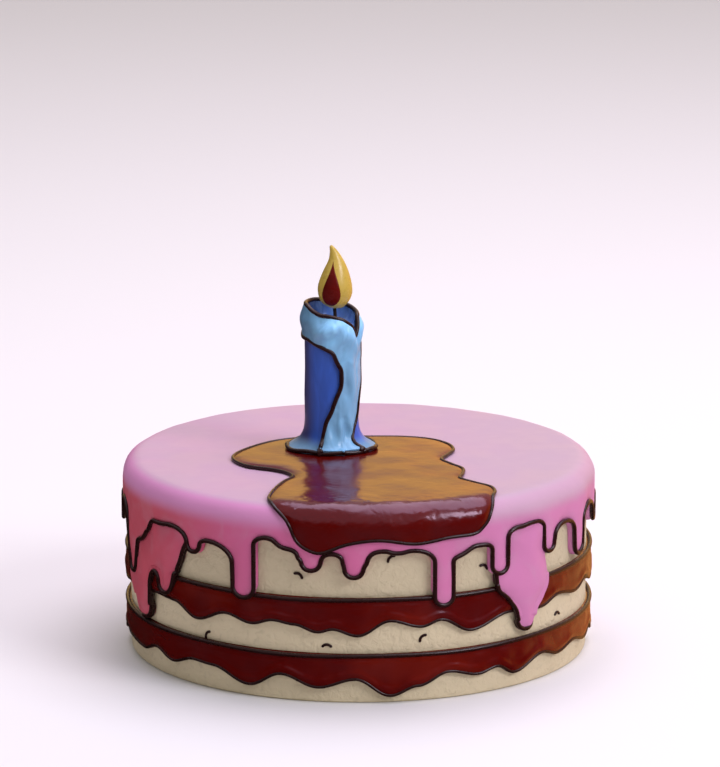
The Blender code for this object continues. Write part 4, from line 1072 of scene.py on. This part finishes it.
def candle_curve():
    """The candle's side as a table from its foot up: the length along it, the height, the share by which
    it spreads, and the way out of it, sideways and upwards."""
    z = np.linspace(CANDLE_TOP, FLARE_FOOT, 600)
    spread = np.exp(-(z - FLARE_FOOT) / FLARE_LENGTH)
    r = CANDLE_RADIUS + FLARE_SPREAD * spread
    along = np.concatenate([[0], np.cumsum(np.hypot(np.diff(r), np.diff(z)))])
    slope_r, slope_z = np.gradient(r, along), np.gradient(z, along)
    return CANDLE_TOP - along[::-1], z[::-1], spread[::-1], -slope_z[::-1], slope_r[::-1]


def on_candle(degrees, along, proud):
    """Points of the candle's side, at a length along it (its height, where it is straight) and standing
    proud of it: the foot spreads as far as its wavy edge."""
    table, height, spread, out_r, out_z = candle_curve()
    at = np.clip(along, table[0], table[-1])
    foot = round_the_edge(FOOT_EDGE, degrees) * MM
    r = CANDLE_RADIUS + (foot - CANDLE_RADIUS) * np.interp(at, table, spread)
    z = np.interp(at, table, height) + np.maximum(along - CANDLE_TOP, 0)
    r = r + proud * np.interp(at, table, out_r)
    z = z + proud * np.interp(at, table, out_z)
    return round_axis(np.radians(degrees), r, z) + (CANDLE_X, CANDLE_Y, 0)


class CAKE_OT_candle(bpy.types.Operator):
    """Makes the blue candle with its spread foot, the foot's outline and the wick"""

    bl_idname = "cake.candle"
    bl_label = "Candle"

    def execute(self, context):
        sizes, colours = context.scene.cake_sizes, context.scene.cake_colours
        blue = tuple(colours.candle)
        finish = shared("candle_wax", candle_finish, blue, tuple(colours.wax))
        degrees = np.arange(-180, 180, 3.0)
        low = candle_curve()[0][0]
        flare, straight = np.linspace(low, low + 12 * MM, 22), np.linspace(low + 14 * MM, CANDLE_TOP, 26)
        along = np.concatenate([flare, straight])
        side = np.stack([on_candle(degrees, np.full_like(degrees, a), np.zeros_like(degrees)) for a in along])
        uneven = ripple(side.reshape(-1, 3), 18 * MM, seed=41).reshape(side.shape[:2])
        middle = np.array([CANDLE_X, CANDLE_Y, 0])
        way = (side - middle) * (1, 1, 0)
        way /= np.linalg.norm(way, axis=2)[..., None]
        side = side - way * (0.12 * MM * (1 + uneven))[..., None]
        edge = side[0] - (0, 0, 0.5 * MM) - 0.1 * MM * way[0]
        under = side[0] * (1, 1, 0) + (0, 0, CANDLE_BASE)
        rows = [np.zeros_like(under) + middle + (0, 0, CANDLE_BASE), under, edge, *side]
        top = side[-1]
        for share, rise in ((0.96, 0.1), (0.8, -0.15), (0.4, -0.7), (0.0, -0.8)):
            rows.append((top - middle) * (share, share, 0) + middle + (0, 0, CANDLE_TOP + rise * MM))
        shell = Shell()
        shell.sheet(rows, around=True)
        stand_in(shell.piece("candle", finish), "blue_candle", "candle_body")

        line = Shell()

        def on_foot(spots, lift):
            flat = on_candle(spots[:, 0], np.full(len(spots), low), np.zeros(len(spots)))
            way = (flat - middle) * (1, 1, 0)
            way /= np.linalg.norm(way, axis=1)[:, None]
            made = flat + way * (lift - 0.1 * MM)
            made[:, 2] = FOOT_LINE + 0.25 * MM * np.sin(np.radians(spots[:, 0] * 7))
            return made

        add_bead(line, on_foot, np.arange(-180, 180, 1.5)[:, None], 0.95 * sizes.wax_bead, closed=True)
        piped(line, "foot_outline", colours)
        self.wick()
        return {"FINISHED"}

    def wick(self):
        """A thin rod carried up a slightly bent path."""
        made = Finish("wick_cord", 0.7, 0.3)
        dark, burnt = (0.02, 0.008, 0.006), (0.035, 0.015, 0.012)
        made.colour(made.mixed(made.noise(0.001, 2), dark, burnt))
        made.raised(made.noise(0.0008, 2, 0, made.mapped((1.0, 1.0, 0.35))), 0.5, 0.0003)
        height = np.linspace(CANDLE_TOP - 0.2 * MM, WICK_TOP, 20)

        def on_path(spots, lift):
            bend = 0.25 * MM * np.sin((spots[:, 0] - CANDLE_TOP) / (8 * MM) * math.pi)
            return np.stack([WICK_X + bend + lift, np.full(len(spots), CANDLE_Y), spots[:, 0]], 1)

        shell = Shell()
        add_bead(shell, on_path, height[:, None], WICK_RADIUS, sides=14)
        stand_in(shell.piece("candle_wick", made.material), "wick", "wick")


class CAKE_OT_wax(bpy.types.Operator):
    """Makes the light wax that has run over the candle, the pool in its cup, and its piped outlines"""

    bl_idname = "cake.wax"
    bl_label = "Candle wax"

    def execute(self, context):
        sizes, colours = context.scene.cake_sizes, context.scene.cake_colours
        to_length = math.radians(1) * WAX_RADIUS
        self.rim = smooth_line([(a * to_length, z * MM, h) for a, z, h in WAX_RIM], 0.5 * MM)
        hem = smooth_line([(a * to_length, z * MM, h) for a, z, h in WAX_HEM], 0.5 * MM)
        shell = Shell()
        hem_rows = [(-0.3, 0.06), (-0.4, 0.4), (0.1, 0.75), (0.7, None), (1.2, None)]
        rim_rows = [(1.0, 0.0), (0.4, 0.0), (0.05, 0.45), (0.2, 0.95), (0.7, None), (1.2, None)]
        rows = []
        for shift, proud in hem_rows:
            row = shift_inwards(hem, shift * MM)
            rows.append(self.on_wax(row, self.face(row) if proud is None else proud * MM))
        low, low_back = row, shift_inwards(hem, -0.3 * MM)
        shell.sheet(rows)
        rows = []
        for shift, proud in rim_rows:
            row = shift_inwards(self.rim, -shift * MM)
            proud = self.face(row) if proud is None else proud * MM + self.behind(row)
            rows.append(self.on_wax(row, proud))
        high, high_back = row, shift_inwards(self.rim, -1.0 * MM)
        shell.sheet(rows)
        lattice = grid(np.arange(-176, 180, 4.0) * to_length, np.arange(85, 150, 0.9) * MM)
        for bottom, top, front in ((low, high, True), (low_back, high_back, False)):
            seam = np.arange(85, 150, 1.4) * MM
            seam = [z for z in seam if bottom[0, 1] + 0.8 * MM < z < top[0, 1] - 0.8 * MM]
            right_seam = [(bottom[-1, 0], z) for z in seam]
            left_seam = [(bottom[0, 0], z) for z in seam[::-1]]
            loop = np.concatenate([bottom, right_seam, top[::-1], left_seam])
            flat, triangles = filled(loop, lattice if front else lattice[::2], 0.6 * MM)
            proud = self.face(flat) if front else self.behind(flat)
            shell.add(self.on_wax(flat, proud), triangles)
        wax = tuple(colours.wax)
        finish = shared("pale_wax", wax_finish, "pale_wax", wax, shaded(wax, 1.15), 0.34)
        stand_in(shell.piece("wax", finish), "light_wax", "wax_coat")

        lines = Shell()

        def on_hem(spots, lift):
            return self.on_wax(spots, 0.55 * MM + lift)

        def on_rim(spots, lift):
            return self.on_wax(spots, 0.35 * MM + lift)

        front = (hem[:, 0] > -24 * to_length) & (hem[:, 0] < 56 * to_length)
        foot = np.flatnonzero((hem[:, 1] < 85.0 * MM) & front)
        round_the_back = np.concatenate([hem[foot[-1] - 4:-1], hem[: foot[0] + 5] + (360 * to_length, 0)])
        add_bead(lines, on_hem, round_the_back, sizes.wax_bead)
        add_bead(lines, on_rim, self.rim[:-1], sizes.wax_bead, closed=True)
        piped(lines, "wax_outlines", colours)
        self.pool()
        return {"FINISHED"}

    def on_wax(self, flat, proud):
        """Points of the unrolled wax coat, standing proud of the candle. Above the candle's top the coat
        leans inwards, less so at the notch."""
        degrees = np.degrees(flat[:, 0] / WAX_RADIUS)
        lean = np.clip((flat[:, 1] - CANDLE_TOP - 0.6 * MM) / (7.0 * MM), 0, 1)
        lean = lean * lean * (3 - 2 * lean) * 1.0 * MM
        return on_candle(degrees, flat[:, 1], proud + 0.05 * MM - lean)

    def behind(self, flat):
        """How far the coat's back stands proud: just clear of the candle, and over its top not at all."""
        return np.where(flat[:, 1] > CANDLE_TOP, 0.0, 0.06 * MM)

    def face(self, flat):
        """How far the coat's face stands proud: it swells below the rim, thins towards it, and carries the
        lumps and dents, each a bell curve on a turned ellipse."""
        below = np.interp(flat[:, 0], self.rim[:, 0], self.rim[:, 1]) - flat[:, 1]
        proud = 0.95 * MM + 1.6 * MM * np.exp(-(((below - 5.5 * MM) / (4.2 * MM)) ** 2))
        for degrees, height, wide, tall, turn, depth in WAX_LUMPS:
            x = (flat[:, 0] - math.radians(degrees) * WAX_RADIUS) / MM
            y = (flat[:, 1] / MM) - height
            c, s = math.cos(math.radians(turn)), math.sin(math.radians(turn))
            across, along = (x * c + y * s) / wide, (-x * s + y * c) / tall
            proud = proud + LUMP_GAIN * depth * MM * np.exp(-(across**2 + along**2) * 1.4)
        at = on_candle(np.degrees(flat[:, 0] / WAX_RADIUS), flat[:, 1], np.zeros(len(flat)))
        return np.maximum(proud + 0.1 * MM * ripple(at, 7 * MM, seed=51), 0.45 * MM)

    def pool(self):
        """The cup's lining: a bowl whose side follows the rim."""
        deep_blue, mid_blue = (0.09, 0.19, 0.47), (0.17, 0.32, 0.58)
        finish = shared("pool_wax", wax_finish, "pool_wax", deep_blue, mid_blue, 0.3)
        degrees = np.arange(-180, 180, 4.0)
        to_length = math.radians(1) * WAX_RADIUS
        bottom = CANDLE_TOP + 0.25 * MM
        rim = np.interp(degrees * to_length, self.rim[:, 0], self.rim[:, 1]) - 0.7 * MM
        rim = np.maximum(rim, bottom + 0.3 * MM)
        rings = [(0, bottom), (CUP_OUTER, bottom), (CUP_OUTER, (rim + bottom) / 2)]
        for share in np.linspace(1, 0, 24):
            climb = share**5
            rings.append((CUP_RADIUS * np.sqrt(share), (bottom + 1.0 * MM) * (1 - climb) + rim * climb))
        middle = (CANDLE_X, CANDLE_Y, 0)
        shell = Shell()
        shell.sheet([round_axis(np.radians(degrees), r, z) + middle for r, z in rings], around=True)
        stand_in(shell.piece("wax_pool", finish), "blue_candle")


def flame_at(height):
    """The flame's middle across the cake and its radius at a height, on a smooth curve through its rows."""
    rows = np.array(FLAME_ROWS) * MM
    pad = np.concatenate([[2 * rows[0] - rows[1]], rows, [2 * rows[-1] - rows[-2]]])
    curve = spline(*(pad[i : len(pad) - 3 + i] for i in range(4)), 10)
    curve = np.concatenate([curve, rows[-1:]])
    z = np.maximum.accumulate(curve[:, 0])
    middle, radius = (curve[:, 1] + curve[:, 2]) / 2, np.maximum((curve[:, 2] - curve[:, 1]) / 2, 0)
    return np.interp(height, z, middle), np.interp(height, z, radius)


class CAKE_OT_flame(bpy.types.Operator):
    """Makes the moulded flame and the dark heart on its front"""

    bl_idname = "cake.flame"
    bl_label = "Flame"

    def execute(self, context):
        colours = context.scene.cake_colours
        yellow, red = tuple(colours.flame), tuple(colours.flame_core)
        low, high = FLAME_ROWS[0][0] * MM, FLAME_ROWS[-1][0] * MM
        share = (1 - np.cos(np.linspace(0, math.pi, 72))) / 2
        height = low + (high - low) * share
        middle, radius = flame_at(height)
        radius[[0, -1]] = 0
        turn = np.linspace(0, 2 * math.pi, 49)[:-1]
        x = middle[:, None] + radius[:, None] * np.sin(turn)
        y = CANDLE_Y - radius[:, None] * np.cos(turn)
        z = np.broadcast_to(height[:, None], x.shape)
        shell = Shell()
        shell.sheet(np.stack([x, y, z], -1), around=True)
        finish = shared("yellow_sugar", flame_finish, "yellow_sugar", yellow, shaded(yellow, 1.12), 0.5)
        stand_in(shell.piece("candle_flame", finish), "flame_yellow", "flame")
        self.core(red)
        return {"FINISHED"}

    def core(self, red):
        """A drop drawn on the flame's front: height along it and a share across it, pushed out on to the
        flame's round surface and a little proud of it, thinning to the edge."""
        share = (1 - np.cos(np.linspace(0, math.pi, 40))) / 2
        upper = np.clip((share - HEART_PEAK) / (1 - HEART_PEAK), 0, 1)
        rounded = np.sqrt(np.clip(1 - ((HEART_PEAK - share) / HEART_PEAK) ** 2, 0, 1))
        pointed = 0.62 * (1 + np.cos(math.pi * upper)) / 2 + 0.38 * (1 - upper)
        wide = np.where(share < HEART_PEAK, rounded, pointed)
        middle = HEART_X + HEART_LEAN * share**1.5
        across = np.linspace(-1, 1, 25)
        x = middle[:, None] + HEART_WIDTH * wide[:, None] * across
        z = np.broadcast_to((HEART_LOW + (HEART_HIGH - HEART_LOW) * share)[:, None], x.shape)
        centre, radius = flame_at(z)
        shell = Shell()
        sheets = []
        front = 0.28 * MM * np.clip(1 - across**8, 0, 1) * np.clip(wide * 4, 0, 1)[:, None]
        for proud in (front, -0.25 * MM):
            r = radius + proud
            y = CANDLE_Y - np.sqrt(np.maximum(r**2 - (x - centre) ** 2, (0.3 * MM) ** 2))
            sheets.append(np.stack([x, y, z], -1))
            shell.sheet(sheets[-1])
        for column in (0, -1):
            shell.sheet([sheets[0][:, column], sheets[1][:, column]])
        finish = shared("red_sugar", flame_finish, "red_sugar", red, shaded(red, 1.4), 0.12)
        stand_in(shell.piece("flame_heart", finish), "flame_red", "flame_core")


class CAKE_OT_stage(bpy.types.Operator):
    """Makes the pale floor, the soft studio light and the camera"""

    bl_idname = "cake.stage"
    bl_label = "Stage"

    def execute(self, context):
        colours = context.scene.cake_colours
        x, y = np.meshgrid(np.linspace(-7, 7, 15), np.linspace(-6, 8, 15))  # metres
        shell = Shell()
        shell.sheet(np.stack([x, y, 0 * x], -1))
        made = Finish("pale_floor", 0.75, 0.15)
        made.colour(made.mixed(made.noise(0.4, 1), tuple(colours.floor), shaded(colours.floor, 1.01)))
        floor = shell.piece("floor", made.material)
        floor.visible_glossy = False
        lights = {row[0]: self.light(*row) for row in LIGHTS}
        lights["low_fill"].visible_glossy = False
        self.surroundings(context.scene)
        context.scene.view_settings.view_transform = "Standard"
        camera = bpy.data.objects.new("camera", bpy.data.cameras.new("camera"))
        camera.data.sensor_width = SENSOR
        camera.data.lens = LENS
        camera.data.clip_end = 50
        camera.location = CAMERA_PLACE
        camera.rotation_euler = Vector(CAMERA_WAY).to_track_quat("-Z", "Y").to_euler()
        context.scene.collection.objects.link(camera)
        context.scene.camera = camera
        return {"FINISHED"}

    def surroundings(self, scene):
        """A pale room above, and lower down dim in front and golden at the back and right: the colour
        follows the direction looked in."""
        world = bpy.data.worlds.new("studio")
        tree = Tree(world)
        way = tree.nodes.new("ShaderNodeTexCoord").outputs["Generated"]
        colour = DIM
        for axis, low, high, other in (GOLDEN, PALE):
            along = tree.nodes.new("ShaderNodeVectorMath")
            along.operation = "DOT_PRODUCT"
            along.inputs[1].default_value = axis
            tree.links.new(way, along.inputs[0])
            colour = tree.mixed(tree.between(along.outputs["Value"], low, high), colour, other)
        tree.links.new(colour, tree.nodes["Background"].inputs["Color"])
        scene.world = world

    def light(self, name, place, size, energy, colour, spread):
        """A soft panel turned towards the cake, its light kept within a spread in degrees."""
        lamp = bpy.data.lights.new(name, "AREA")
        lamp.shape = "RECTANGLE"
        lamp.size, lamp.size_y = size
        lamp.energy = energy
        lamp.color = colour
        lamp.spread = math.radians(spread)
        made = bpy.data.objects.new(name, lamp)
        made.location = place
        made.rotation_euler = (Vector((0, 0, 0.06)) - Vector(place)).to_track_quat("-Z", "Y").to_euler()
        bpy.context.scene.collection.objects.link(made)
        return made


OPERATORS = (
    CAKE_OT_cream, CAKE_OT_bands, CAKE_OT_icing, CAKE_OT_puddle, CAKE_OT_candle, CAKE_OT_wax, CAKE_OT_flame,
    CAKE_OT_stage,
)


class CAKE_PT_panel(bpy.types.Panel):
    """Lists the cake's pieces, sizes and colours"""

    bl_idname = "CAKE_PT_panel"
    bl_label = "Outlined Cake"
    bl_space_type = "VIEW_3D"
    bl_region_type = "UI"
    bl_category = "Cake"

    def draw(self, context):
        for group in (context.scene.cake_sizes, context.scene.cake_colours):
            box = self.layout.box()
            for key in group.bl_rna.properties.keys():
                if key not in ("rna_type", "name"):
                    box.prop(group, key)
        for operator in OPERATORS:
            self.layout.operator(operator.bl_idname)


CLASSES = (CakeSizes, CakeColours, *OPERATORS, CAKE_PT_panel)


def register():
    for made in CLASSES:
        bpy.utils.register_class(made)
    bpy.types.Scene.cake_sizes = bpy.props.PointerProperty(type=CakeSizes)
    bpy.types.Scene.cake_colours = bpy.props.PointerProperty(type=CakeColours)


def unregister():
    del bpy.types.Scene.cake_sizes
    del bpy.types.Scene.cake_colours
    for made in reversed(CLASSES):
        bpy.utils.unregister_class(made)


def main():
    register()
    for name in ("cream", "bands", "icing", "puddle", "candle", "wax", "flame", "stage"):
        getattr(bpy.ops.cake, name)()


if __name__ == "__main__":
    main()
